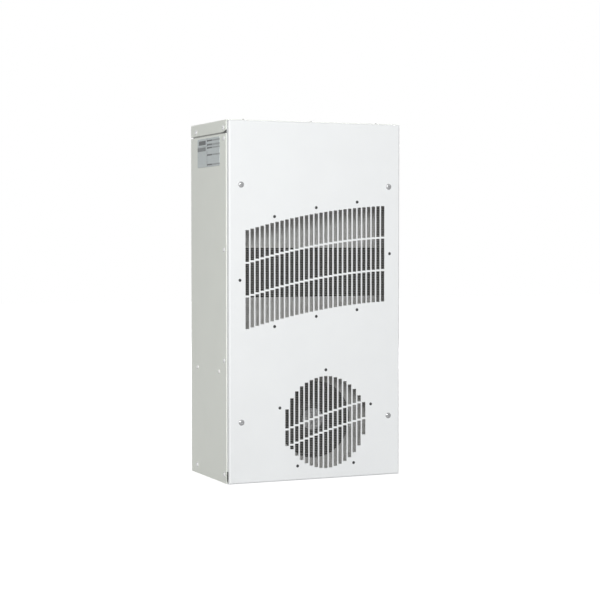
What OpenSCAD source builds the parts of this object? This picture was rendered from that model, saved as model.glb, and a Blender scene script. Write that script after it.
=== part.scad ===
// Air-to-air heat exchanger for an electrical enclosure.
// Origin: middle of the footprint, on the surface it stands on. The front faces -Y, +Z is up.

/* [Cabinet] */
// Width across the two side panels
body_w = 388; // [384:1:420]
// Depth from the front cover's face to the back wall
body_d = 222; // [216:1:250]
// Height to the top of the cap
body_h = 737.5; // [730:0.5:800]
// Thickness of the folded steel sheet
sheet = 1.5; // [1.2:0.1:1.8]
// Outer radius of the folded edges
bend_r = 3.5; // [2.5:0.1:5]
// Clearance between two sheets that slide past each other
fit_gap = 0.2; // [0.1:0.05:0.3]

/* [Top cap] */
// Height of the cap's skirt
cap_skirt = 25; // [22:0.5:30]
// Dark gap between the skirt and the side panels
cap_gap = 3.2; // [2:0.2:5]
// Length of the slanted relief at the skirt's front corner
relief_l = 16; // [10:1:20]
// Height of that relief
relief_h = 4; // [2:0.5:6]
// Height of the lap behind the skirt, above and below the gap
lap_h = 14; // [11:0.5:16]

/* [Front cover] */
// How far the cover's side stands ahead of the side panels
cover_reveal = 12; // [8:0.5:14]
// Depth of the cover's folded sides
return_d = 32; // [30:1:38]
// Height of the open notch in the cover's lower corners
notch_h = 25; // [22:0.5:30]
// Distance from the cover's face to that notch
notch_d = 5.2; // [5.2:0.1:7]
// Distance from the side panels' faces to the cover screws
cover_screw_inset = 28; // [26:0.5:32]
// Height of the lower cover screws
cover_screw_low = 125; // [110:1:140]
// Distance from the top of the cap to the upper cover screws
cover_screw_drop = 131.5; // [120:0.5:138]

/* [Grille slots] */
// Width of a slot
slot_w = 8; // [6:0.5:8.5]
// Distance between slot columns
slot_pitch = 10.9; // [10.5:0.1:11.2]
// Width of the curved ribs between slots
rib_w = 4; // [3:0.5:5]
// Radius of the curve that the ribs follow
arc_r = 1346; // [1200:10:1600]

/* [Upper grille] */
// Least distance from the cover's sides to the grille
upper_margin = 35; // [32:1:60]
// Height of the grille's bottom edge above the ground, at its middle
upper_low = 349; // [345:1:370]
// Distance from the top of the cap to the grille's top edge, at its middle
upper_drop = 188.5; // [186:0.5:200]
// Distance of the curve's highest point to the right of the middle
upper_apex = 221.75; // [180:1:260]

/* [Round grille] */
// Distance of the grille's centre to the right of the middle
round_x = 21.85; // [0:0.5:30]
// Height of the grille's centre
round_z = 117.5; // [116:0.5:122]
// Radius of the circle that ends the slots
round_r = 96; // [85:1:97]
// Number of slot columns
round_columns = 17; // [13:2:17]
// Height of the middle row of slots
round_row = 32; // [28:1:36]
// Height of the upper rib above the grille's centre, at its middle
round_rib = 17.7; // [15:0.5:20]
// Distance of the curve's highest point to the right of the grille's centre
round_apex = 379.9; // [340:5:400]
// Shortest slot that is worth punching
slot_least = 5; // [4:0.5:8]

/* [Wire screens] */
// Thickness of a screen
screen_t = 1.2; // [0.8:0.1:1.5]
// Thickness of a clamping frame
clamp_t = 1.2; // [0.8:0.1:1.5]
// Distance from a grille's outline to its rivets
rivet_out = 12; // [10:0.5:13]
// Distance between the rivets along the upper grille
rivet_pitch = 93; // [85:1:96]
// Distance from the rivets to the edge of a screen
rivet_edge = 4.5; // [4:0.5:5]
// Distance between the net's bars
net_pitch = 21; // [18:1:26]
// Width of a net bar
net_bar = 2; // [1.5:0.1:3]

/* [Inner plates] */
// Depth from the cover's face to the fan deck
deck_d = 57; // [56:0.5:64]
// Distance from the lower fan to the divider shelf
shelf_fan_gap = 27; // [27:0.5:32]
// Height of the core window
window_h = 102; // [90:1:104]
// Distance from the core's top to its window
window_drop = 7.5; // [7:0.5:12]
// Fold of the inner plates' edges
flange_w = 13; // [12:0.5:14]

/* [Core] */
// Distance from the cabinet's side to the core
core_side_gap = 28; // [26:0.5:32]
// Distance from the core to the back wall
core_back_gap = 33; // [31:0.5:40]
// Distance from the core's upper shelf to the fan above it
core_fan_gap = 31.5; // [31:0.5:36]
// Number of channels, half for each air stream
channels = 42; // [30:2:48]
// Thickness of a core plate
plate_t = 0.6; // [0.4:0.1:0.8]
// Thickness of the core's side plates
core_side_t = 2; // [1.5:0.1:2.5]
// Thickness of the slotted end sheets
end_t = 1; // [0.8:0.1:1.2]
// Thickness of the foam gaskets around the core
foam_t = 3; // [2.5:0.1:3.5]
// Width of the foam gaskets
foam_w = 8; // [7:0.5:9]

/* [Rear wall] */
// Distance from the divider shelf to the air outlet
outlet_rise = 14.5; // [12:0.5:20]
// Height of the air outlet
outlet_h = 80; // [60:1:84]
// Width of the air outlet
outlet_w = 250; // [200:1:260]
// Distance from the terminal tray's rim to the inlet fan
inlet_side_gap = 6; // [5:0.5:12]
// Distance from the top of the cap to the inlet fan's centre
inlet_drop = 131.5; // [130:0.5:140]
// Thickness of the mounting gasket
gasket_t = 6; // [5:0.5:8]
// Width of the mounting gasket
gasket_w = 10; // [8:0.5:10]
// Distance from the cabinet's side to the mounting inserts
insert_inset = 20; // [20:0.5:23]
// Distance from the cabinet's base and top to the outer mounting inserts
insert_end = 50; // [49:0.5:54]
// Length of a mounting insert's barrel
insert_l = 14; // [12:0.5:16]

/* [Fans] */
// Side of a fan's square frame
fan_size = 172; // [171:0.5:174]
// Diameter of a fan's opening
fan_bore = 162; // [158:0.5:163]
// Depth of a fan
fan_d = 51; // [50:0.5:52]
// Thickness of the frame's wall
fan_wall = 2.5; // [2:0.1:3]
// Thickness of the frame's square ends
fan_end_t = 4; // [3.5:0.1:4.5]
// Distance between a fan's screw holes
fan_hole_pitch = 152; // [150:0.5:153]
// Number of blades
blades = 5; // [3:1:7]
// Clearance between the blade tips and the frame
tip_gap = 2.5; // [2:0.1:4]
// Diameter of the turning hub
hub_dia = 74; // [72:0.5:78]
// Length of the turning hub
hub_l = 32; // [31:0.5:33]
// Distance from the fan's face to the hub's face
hub_set_back = 10; // [9:0.5:11]
// Angle of the blades
blade_pitch = 38; // [30:1:42]
// Width of a blade along its chord
blade_chord = 44; // [36:1:46]
// Thickness of a blade
blade_t = 1.8; // [1.4:0.1:2.2]
// Radius of a blade's curve
camber_r = 60; // [50:1:90]
// Diameter of the shaft
shaft_dia = 6; // [5:0.5:7]
// Clearance around the turning shaft
shaft_gap = 0.05; // [0.02:0.01:0.09]
// Diameter of the plain silver disc on the hub
disc_dia = 46; // [40:1:50]

/* [Finger guard] */
// Diameter of the guard's wire
guard_wire = 2.2; // [1.8:0.1:2.4]
// Distance between the guard's rings
guard_pitch = 10.4; // [9:0.2:10.4]
// Number of rings
guard_rings = 8; // [6:1:8]

/* [Nameplate] */
// Width of the nameplate
plate_w = 130; // [110:1:140]
// Height of the nameplate
plate_h = 59; // [50:1:62]
// Thickness of the nameplate
plate_t_out = 0.8; // [0.6:0.1:1]
// Distance from the cover's face to the nameplate
plate_d = 46.5; // [42:0.5:60]
// Distance from the top of the cap to the nameplate's top edge
plate_drop = 32.5; // [31:0.5:50]

/* [Terminal tray] */
// Width of the tray's opening
tray_w = 70; // [68:1:74]
// Height of the tray's opening
tray_h = 80; // [78:1:96]
// Depth of the tray
tray_d = 40; // [36:1:46]
// Distance from the cabinet's right side to the tray's centre
tray_inset = 75; // [72:1:78]
// Thickness of the tray's sheet
tray_t = 1.2; // [1:0.1:1.5]
// Radius of the internal leads
lead_r = 3; // [2.5:0.1:3.5]

/* [Hidden] */
$fn = 48;

// How far a cut runs past the faces it goes through
overrun = 2;
// Clearance left between two pieces that only just touch
touch_gap = 0.05;

// The cabinet's planes
front_y = -body_d / 2;
back_y = body_d / 2;
half_w = body_w / 2;
wall_in = half_w - sheet;
back_in = back_y - sheet;
shell_front = front_y + cover_reveal;
shell_top = body_h - cap_skirt - cap_gap;
lap_back_inset = 44;
lap_start = front_y + return_d + relief_h;

// The front cover: it slides in between the side panels and under the cap
cover_half = wall_in - fit_gap;
cover_top = body_h - sheet - fit_gap;
cover_in = front_y + sheet;

// Plates that stand inside another folded edge
inner_half = cover_half - sheet - fit_gap;
shelf_half = inner_half - sheet - fit_gap;
seal_half = cover_half - bend_r - fit_gap;
deck_y = front_y + deck_d;
deck_back = deck_y + sheet;
shelf_z = round_z + fan_size / 2 + shelf_fan_gap;
shelf_top = shelf_z + sheet;
outlet_low = shelf_z + outlet_rise;

// The bottom pan, which lies on the cover's lower fold
pan_z = sheet + fit_gap;
pan_flange_h = 22;
pan_start = front_y + notch_d + 2 * sheet;
pan_flange_start = shell_front + relief_h;

// The inlet fan stands beside the terminal tray, above the core
tray_rim = 8;
tray_x = half_w - tray_inset;
inlet_x = tray_x - tray_w / 2 - tray_rim - inlet_side_gap - fan_size / 2;
inlet_z = body_h - inlet_drop;

// The core and the plates around it
core_half = half_w - core_side_gap;
channel_half = core_half - core_side_t;
channel_pitch = 2 * channel_half / channels;
end_slot_w_share = 0.76;
end_slot_w = channel_pitch * end_slot_w_share;
end_margin = 10;
upper_shelf_z = inlet_z - fan_size / 2 - core_fan_gap;
core_low = shelf_top + foam_t;
core_high = upper_shelf_z - foam_t;
core_front = deck_back + foam_t;
core_back = back_in - core_back_gap;
window_half = core_half - foam_w;
window_high = core_high - window_drop;
window_low = window_high - window_h;
window_margin = 2;

// The upper grille's slots
upper_side_columns = floor((cover_half - upper_margin - slot_w / 2) / slot_pitch);
upper_columns = 2 * upper_side_columns + 1;
upper_half = upper_side_columns * slot_pitch + slot_w / 2;
upper_top = body_h - upper_drop;
upper_h = upper_top - upper_low;
upper_slot_h = (upper_h - 2 * rib_w) / 3;
upper_arc_z = upper_top + arc_drop(upper_apex) - arc_r;
screen_out = rivet_out + rivet_edge;
clamp_in = 3;

// The round grille's slots
round_rib_pitch = round_row + rib_w;
round_arc_x = round_x + round_apex;
round_arc_z = round_z + round_rib + arc_drop(round_apex) - arc_r;

// Screws: head width, head height and shank width of each size
big_head_dia = 12;
big_head_h = 3.2;
big_shank_dia = 5;
small_head_dia = 9;
small_head_h = 2.6;
small_shank_dia = 4;
side_screw_l = 8;
hole_gap = 0.15;
rim_share = 0.25;
recess_l_share = 0.56;
recess_w_share = 0.13;
recess_h_share = 0.5;
head_clear_share = 0.35;
cover_screw_high = body_h - cover_screw_drop;
side_screw_d = 22.5;
side_screw_drop = 38;
side_screw_low = 250;
side_screw_high = body_h - side_screw_drop;
side_screw_mid = (side_screw_low + side_screw_high) / 2;
cap_screw_rear_inset = 36;
cap_screw_front_d = 26;
cap_screw_drop = 16.5;
cap_top_screw_d = 26;
cap_top_screw_pitch = 150;
pan_screw_z = 18;
pan_screw_rear_inset = 39;
shelf_screw_front_d = 52.5;
shelf_screw_rear_inset = 42;
shelf_screw_drop = 5;
post_flats = 10;
post_hole_l = 14;
post_screw_l = 8;
cover_screw_l = 11;
nut_flats = 7;
nut_h = 3.2;
hex_share = 2 / sqrt(3);

// Rivets
rivet_head_dia = 6.4;
rivet_head_h = 1.1;
rivet_shank_dia = 3.2;
rivet_tail_dia = 4.6;
rivet_tail_h = 1.6;
round_rivets = 5;
round_rivet_out = 12.5;
round_rivet_r = round_r + round_rivet_out;

// The fans
fan_r = fan_bore / 2;
fan_corner_r = 14;
fan_base_dia = 70;
fan_base_t = 4;
fan_base_z = fan_d - fan_base_t - 2;
strut_w = 7;
struts = 4;
bearing_dia = 16;
bearing_h = 5;
bearing_wall = 2;
bearing_low_z = 19;
bearing_high_z = fan_base_z - bearing_h - 3;
tube_z = bearing_low_z - 1;
hub_wall = 2.5;
hub_z = hub_set_back;
stator_dia = 62;
stator_z = hub_z + hub_wall + 4;
stator_h = 24;
stator_core_h = 14;
winding_inset = 4;
boss_dia = 13;
boss_h = 4;
press_gap = 0.02;
blade_root = 1;
blade_z = hub_z + hub_l / 2;
disc_t = 0.6;
fan_screw_l = 12;
blade_tip_r = fan_r - tip_gap;

// The finger guard
guard_first_r = 14;
guard_eye_dia = 11;
guard_weld = 0.4;
guard_last_r = guard_first_r + (guard_rings - 1) * guard_pitch;
guard_reach = fan_hole_pitch / 2 * sqrt(2);

// The rear wall's gasket and inserts
gasket_inset = 4;
gasket_z = 5;
insert_x = half_w - insert_inset;
insert_head_dia = 11;
insert_head_h = 1.2;
insert_barrel_dia = 9;
insert_bore_dia = 5;

// The nameplate's ruling
plate_groove_w = 0.7;
plate_groove_h = 0.3;
plate_corner_r = 2;
plate_divider_share = 0.54;
plate_row_shares = [0.18, 0.34, 0.5, 0.66, 0.82];
plate_edge = 3;

// The terminal tray and what it holds
tray_z = inlet_z;
tray_floor = back_in - tray_d;
tray_low = tray_z - tray_h / 2;
block_w = 50;
block_h = 24;
block_base_t = 12;
block_t = 18;
block_rib_t = 2;
block_poles = 3;
block_lift = 12;
block_z = tray_z + block_lift;
terminal_head_dia = 7;
terminal_head_h = 2;
terminal_shank_dia = 3;
terminal_screw_l = 6;
stud_dia = 5;
stud_l = 13;
stud_z = tray_low + tray_rim * 2;

// The internal leads run from the tray to the fans, down the gap beside the core
lead_sides = 8;
lead_inset = 12;
lead_x_out = tray_x + lead_inset;
lead_x_in = tray_x - lead_inset;
grommet_wall = 3;
grommet_lip = 1.4;
grommet_lip_t = 1.4;
grommet_r = lead_r + grommet_wall;
lead_tray_y = tray_floor + tray_t + grommet_r + grommet_lip + fit_gap;
lead_side_x = (core_half + wall_in) / 2;
lead_side_inset = 55.5;
lead_side_y = back_in - lead_side_inset;
lead_turn = 30;
lead_base_out = 20;
clip_wall = 1.6;
clip_h = 8;
clip_shares = [0.2, 0.5, 0.8];

// Drop of the grille's curve at a distance from its highest point
function arc_drop(x) = arc_r - sqrt(arc_r * arc_r - x * x);
function upper_edge(x) = upper_arc_z + arc_r - arc_drop(x - upper_apex);
function round_edge(x) = round_arc_z + arc_r - arc_drop(x - round_arc_x);
function column_x(i, n) = (i - (n - 1) / 2) * slot_pitch;
function channel_x(i) = -channel_half + (i + 0.5) * channel_pitch;

// Solids between two corners, and drawings stood up as sheets
module block(low, high) {
  translate(low) cube(high - low);
}
module stand_xz(y, t) {
  translate([0, y + t, 0]) rotate([90, 0, 0]) linear_extrude(t) children();
}
module stand_yz(x, t) {
  translate([x, 0, 0]) rotate([90, 0, 90]) linear_extrude(t) children();
}
module lay_xy(z, t) {
  translate([0, 0, z]) linear_extrude(t) children();
}
module rect(low, high) {
  translate(low) square(high - low);
}

// A rectangle with the corners that are named rounded; a corner is [0 or 1, 0 or 1]
module soft_rect(low, high, r, corners) {
  difference() {
    rect(low, high);
    for (c = corners) {
      at = [c[0] == 0 ? low[0] : high[0], c[1] == 0 ? low[1] : high[1]];
      mid = [c[0] == 0 ? low[0] + r : high[0] - r, c[1] == 0 ? low[1] + r : high[1] - r];
      difference() {
        translate(at) square(2 * r, center = true);
        translate(mid) circle(r = r);
      }
    }
  }
}
all_corners = [[0, 0], [1, 0], [0, 1], [1, 1]];

// Directions that a screw's head can face
module facing_front() { rotate([90, 0, 0]) children(); }
module facing_back() { rotate([-90, 0, 0]) children(); }
module facing_out(side) { rotate([0, side * 90, 0]) children(); }

// A domed cross-recess screw: its head stands on z = 0 and its shank hangs below
module screw(head_dia, head_h, shank_dia, shank_l) {
  rim = head_h * rim_share;
  rise = head_h - rim;
  dome_r = (head_dia * head_dia / 4 + rise * rise) / (2 * rise);
  difference() {
    intersection() {
      cylinder(h = head_h, d = head_dia);
      translate([0, 0, head_h - dome_r]) sphere(r = dome_r);
    }
    for (turn = [0, 90]) {
      rotate(turn) translate([0, 0, head_h])
        cube([head_dia * recess_l_share, head_dia * recess_w_share, head_h * recess_h_share * 2],
             center = true);
    }
  }
  translate([0, 0, -shank_l]) cylinder(h = shank_l, d = shank_dia);
}
module big_screw(shank_l) {
  screw(big_head_dia, big_head_h, big_shank_dia, shank_l);
}
module small_screw(shank_l) {
  screw(small_head_dia, small_head_h, small_shank_dia, shank_l);
}
module big_hole(l) {
  cylinder(h = l, d = big_shank_dia + 2 * hole_gap, center = true);
}
module small_hole(l) {
  cylinder(h = l, d = small_shank_dia + 2 * hole_gap, center = true);
}

// Places of the screws, each given once and used by the screws and by their holes
module at_cover_screws() {
  for (side = [-1, 1], z = [cover_screw_low, cover_screw_high]) {
    translate([side * (half_w - cover_screw_inset), front_y, z]) children();
  }
}
module at_side_screws(side) {
  for (z = [side_screw_low, side_screw_mid, side_screw_high]) {
    translate([side * half_w, front_y + side_screw_d, z]) facing_out(side) children();
  }
}
module at_pan_screws(side) {
  for (y = [front_y + side_screw_d, back_y - pan_screw_rear_inset]) {
    translate([side * half_w, y, pan_screw_z]) facing_out(side) children();
  }
}
module at_shelf_screws(side) {
  for (y = [front_y + shelf_screw_front_d, back_y - shelf_screw_rear_inset]) {
    translate([side * half_w, y, shelf_z - shelf_screw_drop]) facing_out(side) children();
  }
}
module at_cap_side_screws(side) {
  for (y = [front_y + cap_screw_front_d, back_y - cap_screw_rear_inset]) {
    translate([side * half_w, y, body_h - cap_screw_drop]) facing_out(side) children();
  }
}
module at_cap_top_screws() {
  for (i = [-1:1]) {
    translate([i * cap_top_screw_pitch, front_y + cap_top_screw_d, body_h]) children();
  }
}

// The grilles' slots, drawn as seen from the front
module upper_slots() {
  for (i = [0:upper_columns - 1], row = [0:2]) {
    x = column_x(i, upper_columns);
    top = upper_edge(x) - row * (upper_slot_h + rib_w);
    translate([x - slot_w / 2, top - upper_slot_h]) square([slot_w, upper_slot_h]);
  }
}
module round_slots() {
  for (i = [0:round_columns - 1]) {
    x = column_x(i, round_columns);
    reach_x = abs(x) + slot_w / 2;
    reach = sqrt(max(0, round_r * round_r - reach_x * reach_x));
    rib_high = round_edge(round_x + x);
    rib_low = rib_high - round_rib_pitch;
    translate([round_x + x - slot_w / 2, 0]) {
      translate([0, rib_low + rib_w / 2]) square([slot_w, round_row]);
      if (round_z + reach - rib_high - rib_w / 2 > slot_least) {
        rect([0, rib_high + rib_w / 2], [slot_w, round_z + reach]);
      }
      if (rib_low - rib_w / 2 - round_z + reach > slot_least) {
        rect([0, round_z - reach], [slot_w, rib_low - rib_w / 2]);
      }
    }
  }
}

// Outlines that follow the grilles at a distance
module upper_outline(out) {
  difference() {
    intersection() {
      rect([-upper_half - out, upper_arc_z], [upper_half + out, upper_top + upper_h]);
      translate([upper_apex, upper_arc_z]) circle(r = arc_r + out, $fn = 720);
    }
    translate([upper_apex, upper_arc_z - upper_h]) circle(r = arc_r - out, $fn = 720);
  }
}
module round_outline(out) {
  translate([round_x, round_z]) circle(r = round_r + out, $fn = 96);
}
module at_upper_rivets() {
  for (i = [-1:1]) {
    x = i * rivet_pitch;
    translate([x, upper_edge(x) + rivet_out]) children();
    translate([x, upper_edge(x) - upper_h - rivet_out]) children();
  }
  for (side = [-1, 1]) {
    x = side * (upper_half + rivet_out);
    translate([x, upper_edge(side * upper_half) - upper_h / 2]) children();
  }
}
module at_round_rivets() {
  for (i = [0:round_rivets - 1]) {
    translate([round_x, round_z]) rotate(90 + i * 360 / round_rivets)
      translate([round_rivet_r, 0]) children();
  }
}
module rivet_holes() {
  circle(d = rivet_shank_dia + 2 * hole_gap);
}

// Front cover: a folded pan with its returns between the side panels
module cover_form(inset, depth) {
  half = cover_half - inset;
  low_z = inset;
  high_z = cover_top - inset;
  near = front_y + inset;
  r = bend_r - inset;
  intersection() {
    lay_xy(low_z, high_z - low_z) soft_rect([-half, near], [half, depth], r, [[0, 0], [1, 0]]);
    stand_yz(-half, 2 * half) soft_rect([near, low_z], [depth, high_z], r, [[0, 0], [0, 1]]);
    stand_xz(near, depth - near) soft_rect([-half, low_z], [half, high_z], r, [[0, 1], [1, 1]]);
  }
}
module front_cover() color("white") difference() {
  cover_form(0, front_y + return_d);
  cover_form(sheet, front_y + return_d + overrun);
  for (side = [-1, 1]) {
    translate([side * cover_half, 0, 0])
      block([-2 * sheet, front_y + notch_d, sheet],
            [2 * sheet, front_y + return_d + overrun, notch_h]);
    at_side_screws(side) small_hole(2 * side_screw_l);
    at_cap_side_screws(side) small_hole(2 * side_screw_l);
  }
  at_cover_screws() facing_front() big_hole(4 * sheet);
  at_cap_top_screws() small_hole(2 * side_screw_l);
  stand_xz(front_y - overrun, sheet + 2 * overrun) {
    upper_slots();
    round_slots();
    at_upper_rivets() rivet_holes();
    at_round_rivets() rivet_holes();
  }
}

// Cabinet shell: back wall and side panels in one fold, with laps for the cap's skirt
module rear_wall_cuts() {
  stand_xz(back_in - overrun, sheet + 2 * overrun) {
    translate([inlet_x, inlet_z]) {
      circle(d = fan_bore, $fn = 96);
      for (sx = [-1, 1], sz = [-1, 1]) {
        translate([sx, sz] * fan_hole_pitch / 2) circle(d = small_shank_dia + 2 * hole_gap);
      }
    }
    rect([-outlet_w / 2, outlet_low], [outlet_w / 2, outlet_low + outlet_h]);
    rect([tray_x - tray_w / 2, tray_low], [tray_x + tray_w / 2, tray_low + tray_h]);
    at_inserts() circle(d = insert_barrel_dia + 2 * touch_gap);
  }
}
module at_inserts() {
  for (side = [-1, 1], z = [insert_end, body_h / 2, body_h - insert_end]) {
    translate([side * insert_x, z]) children();
  }
}
module cabinet_shell() color("gainsboro") difference() {
  union() {
    lay_xy(0, shell_top) difference() {
      soft_rect([-half_w, shell_front], [half_w, back_y], bend_r, [[0, 1], [1, 1]]);
      soft_rect([-wall_in, shell_front - overrun], [wall_in, back_in], bend_r - sheet,
                [[0, 1], [1, 1]]);
    }
    for (side = [-1, 1]) {
      translate([side * (wall_in - sheet / 2), 0, 0])
        block([-sheet / 2, lap_start, shell_top - lap_h],
              [sheet / 2, back_in - lap_back_inset / 4, shell_top + cap_gap + lap_h]);
      translate([side * (wall_in - sheet / 4), 0, 0])
        block([-3 * sheet / 4, lap_start, shell_top - lap_h],
              [3 * sheet / 4, back_in - lap_back_inset / 4, shell_top - sheet]);
    }
    block([-wall_in + lap_back_inset, back_in - sheet, shell_top - lap_h],
          [wall_in - lap_back_inset, back_in, shell_top + cap_gap + lap_h]);
    block([-wall_in + lap_back_inset, back_in - sheet, shell_top - lap_h],
          [wall_in - lap_back_inset, back_in + sheet / 2, shell_top - sheet]);
  }
  rear_wall_cuts();
  for (side = [-1, 1]) {
    at_side_screws(side) small_hole(2 * side_screw_l);
    at_pan_screws(side) small_hole(2 * side_screw_l);
    at_shelf_screws(side) small_hole(2 * side_screw_l);
    at_cap_side_screws(side) small_hole(2 * side_screw_l);
  }
}

// Top cap: a folded lid whose skirt hangs over the laps
module cap_form(inset, low_z) {
  half = half_w - inset;
  near = shell_front;
  far = back_y - inset;
  high_z = body_h - inset;
  r = bend_r - inset;
  past = inset > 0 ? overrun : 0;
  intersection() {
    lay_xy(low_z, high_z - low_z)
      soft_rect([-half, near - past], [half, far], r, [[0, 1], [1, 1]]);
    stand_yz(-half, 2 * half) soft_rect([near - past, low_z], [far, high_z], r, [[1, 1]]);
    stand_xz(near - past, far - near + past)
      soft_rect([-half, low_z], [half, high_z], r, [[0, 1], [1, 1]]);
  }
}
module top_cap() color("gainsboro") difference() {
  cap_form(0, body_h - cap_skirt);
  cap_form(sheet, body_h - cap_skirt - overrun);
  stand_yz(-half_w - overrun, body_w + 2 * overrun)
    polygon([[shell_front - overrun, body_h - cap_skirt + relief_h],
             [shell_front, body_h - cap_skirt + relief_h],
             [shell_front + relief_l, body_h - cap_skirt],
             [shell_front + relief_l, body_h - cap_skirt - overrun],
             [shell_front - overrun, body_h - cap_skirt - overrun]]);
  at_cap_top_screws() small_hole(2 * side_screw_l);
  for (side = [-1, 1]) {
    at_cap_side_screws(side) small_hole(2 * side_screw_l);
  }
}

// Bottom pan: a tray with its edges folded up inside the shell
module bottom_pan() color("silver") {
  pan_back = back_in - fit_gap;
  difference() {
    union() {
      lay_xy(pan_z, sheet) {
        soft_rect([-cover_half, pan_flange_start], [cover_half, pan_back], bend_r,
                  [[0, 1], [1, 1]]);
        rect([-inner_half, pan_start], [inner_half, pan_flange_start + sheet]);
      }
      for (side = [-1, 1]) {
        translate([side * (cover_half - sheet / 2), 0, 0])
          block([-sheet / 2, pan_flange_start, pan_z],
                [sheet / 2, pan_back - bend_r, pan_z + pan_flange_h]);
      }
      block([-cover_half + bend_r, pan_back - sheet, pan_z],
            [cover_half - bend_r, pan_back, pan_z + pan_flange_h]);
    }
    for (side = [-1, 1]) {
      at_pan_screws(side) small_hole(4 * side_screw_l);
    }
  }
}

// The screws
module cover_screws() color("silver") at_cover_screws() facing_front() big_screw(cover_screw_l);
module cap_top_screws() color("silver") at_cap_top_screws() small_screw(side_screw_l);
module cap_side_screws() color("silver") for (side = [-1, 1]) {
  at_cap_side_screws(side) small_screw(side_screw_l);
}
module side_screws() color("silver") for (side = [-1, 1]) {
  at_side_screws(side) small_screw(side_screw_l);
}
module pan_screws() color("silver") for (side = [-1, 1]) {
  at_pan_screws(side) small_screw(side_screw_l);
}
module shelf_screws() color("gainsboro") for (side = [-1, 1]) {
  at_shelf_screws(side) small_screw(side_screw_l);
}

// Cover posts: six-sided, screwed to the inner plates, drilled for the cover screws
module cover_posts() color("silver") at_cover_screws() {
  post_l = deck_d - sheet;
  translate([0, sheet, 0]) facing_back() difference() {
    cylinder(h = post_l, d = post_flats * hex_share, $fn = 6);
    translate([0, 0, -overrun])
      cylinder(h = post_hole_l + overrun, d = big_shank_dia + 2 * touch_gap);
    translate([0, 0, post_l - post_hole_l])
      cylinder(h = post_hole_l + overrun, d = small_shank_dia + 2 * touch_gap);
  }
}
module post_screws() color("dimgray") at_cover_screws() {
  translate([0, deck_d + sheet, 0]) facing_back() small_screw(post_screw_l);
}

// Nameplate: bare, with a ruled table
module nameplate() color("lightsteelblue") {
  top = body_h - plate_drop;
  low = top - plate_h;
  near = front_y + plate_d;
  far = near + plate_w;
  divider = near + plate_w * plate_divider_share;
  difference() {
    stand_yz(-half_w - plate_t_out, plate_t_out)
      soft_rect([near, low], [far, top], plate_corner_r, all_corners);
    translate([-half_w - plate_t_out, 0, 0]) {
      block([-overrun, divider, low + plate_edge],
            [plate_groove_h, divider + plate_groove_w, top - plate_edge]);
      for (share = plate_row_shares) {
        z = low + plate_h * share;
        block([-overrun, near + plate_edge, z],
              [plate_groove_h, far - plate_edge, z + plate_groove_w]);
      }
    }
  }
}

// Wire screens, their clamping frames and rivets
module net_gaps() {
  n = ceil(upper_half / net_pitch) + 1;
  gap = net_pitch - net_bar;
  for (i = [-n:n], j = [-n:n]) {
    translate([i, j] * net_pitch) square(gap, center = true);
  }
}
module upper_screen() color("silver") stand_xz(cover_in, screen_t) difference() {
  upper_outline(screen_out);
  intersection() {
    upper_outline(clamp_in);
    translate([0, upper_top - upper_h / 2]) net_gaps();
  }
  at_upper_rivets() rivet_holes();
}
module upper_clamp() color("gray") stand_xz(cover_in + screen_t, clamp_t) difference() {
  upper_outline(screen_out);
  upper_outline(clamp_in);
  at_upper_rivets() rivet_holes();
}
module lower_screen() color("silver") stand_xz(cover_in, screen_t) difference() {
  round_outline(screen_out);
  intersection() {
    round_outline(0);
    translate([round_x, round_z]) net_gaps();
  }
  at_round_rivets() rivet_holes();
}
module lower_clamp() color("gray") stand_xz(cover_in + screen_t, clamp_t) difference() {
  round_outline(screen_out);
  round_outline(clamp_in);
  at_round_rivets() rivet_holes();
}
module rivet() {
  stack = sheet + screen_t + clamp_t;
  rise = rivet_head_h;
  dome_r = (rivet_head_dia * rivet_head_dia / 4 + rise * rise) / (2 * rise);
  intersection() {
    cylinder(h = rivet_head_h, d = rivet_head_dia);
    translate([0, 0, rivet_head_h - dome_r]) sphere(r = dome_r);
  }
  translate([0, 0, -stack]) cylinder(h = stack, d = rivet_shank_dia);
  translate([0, 0, -stack - rivet_tail_h]) cylinder(h = rivet_tail_h, d = rivet_tail_dia);
}
module on_cover_face() {
  translate([0, front_y, 0]) rotate([90, 0, 0]) children();
}
module upper_rivets() color("dimgray") on_cover_face() at_upper_rivets() rivet();
module lower_rivets() color("dimgray") on_cover_face() at_round_rivets() rivet();

// Fan deck: the upright plate that carries the outside-air fan
module fan_deck() color("silver") difference() {
  low = pan_z + sheet;
  union() {
    block([-inner_half, deck_y, low], [inner_half, deck_back, shelf_z]);
    block([-inner_half, deck_y, low], [inner_half, deck_back + flange_w, low + sheet]);
    block([-inner_half, deck_y, shelf_z - sheet], [inner_half, deck_back + flange_w, shelf_z]);
    for (side = [-1, 1]) {
      translate([side * (inner_half - sheet / 2), 0, 0])
        block([-sheet / 2, deck_y, low], [sheet / 2, deck_back + flange_w, shelf_z]);
    }
  }
  stand_xz(deck_y - overrun, sheet + 2 * overrun) translate([round_x, round_z]) {
    circle(d = fan_bore, $fn = 96);
    for (sx = [-1, 1], sz = [-1, 1]) {
      translate([sx, sz] * fan_hole_pitch / 2) circle(d = small_shank_dia + 2 * hole_gap);
    }
  }
  at_cover_screws() translate([0, deck_d, 0]) facing_front() small_hole(4 * sheet);
}

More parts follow.
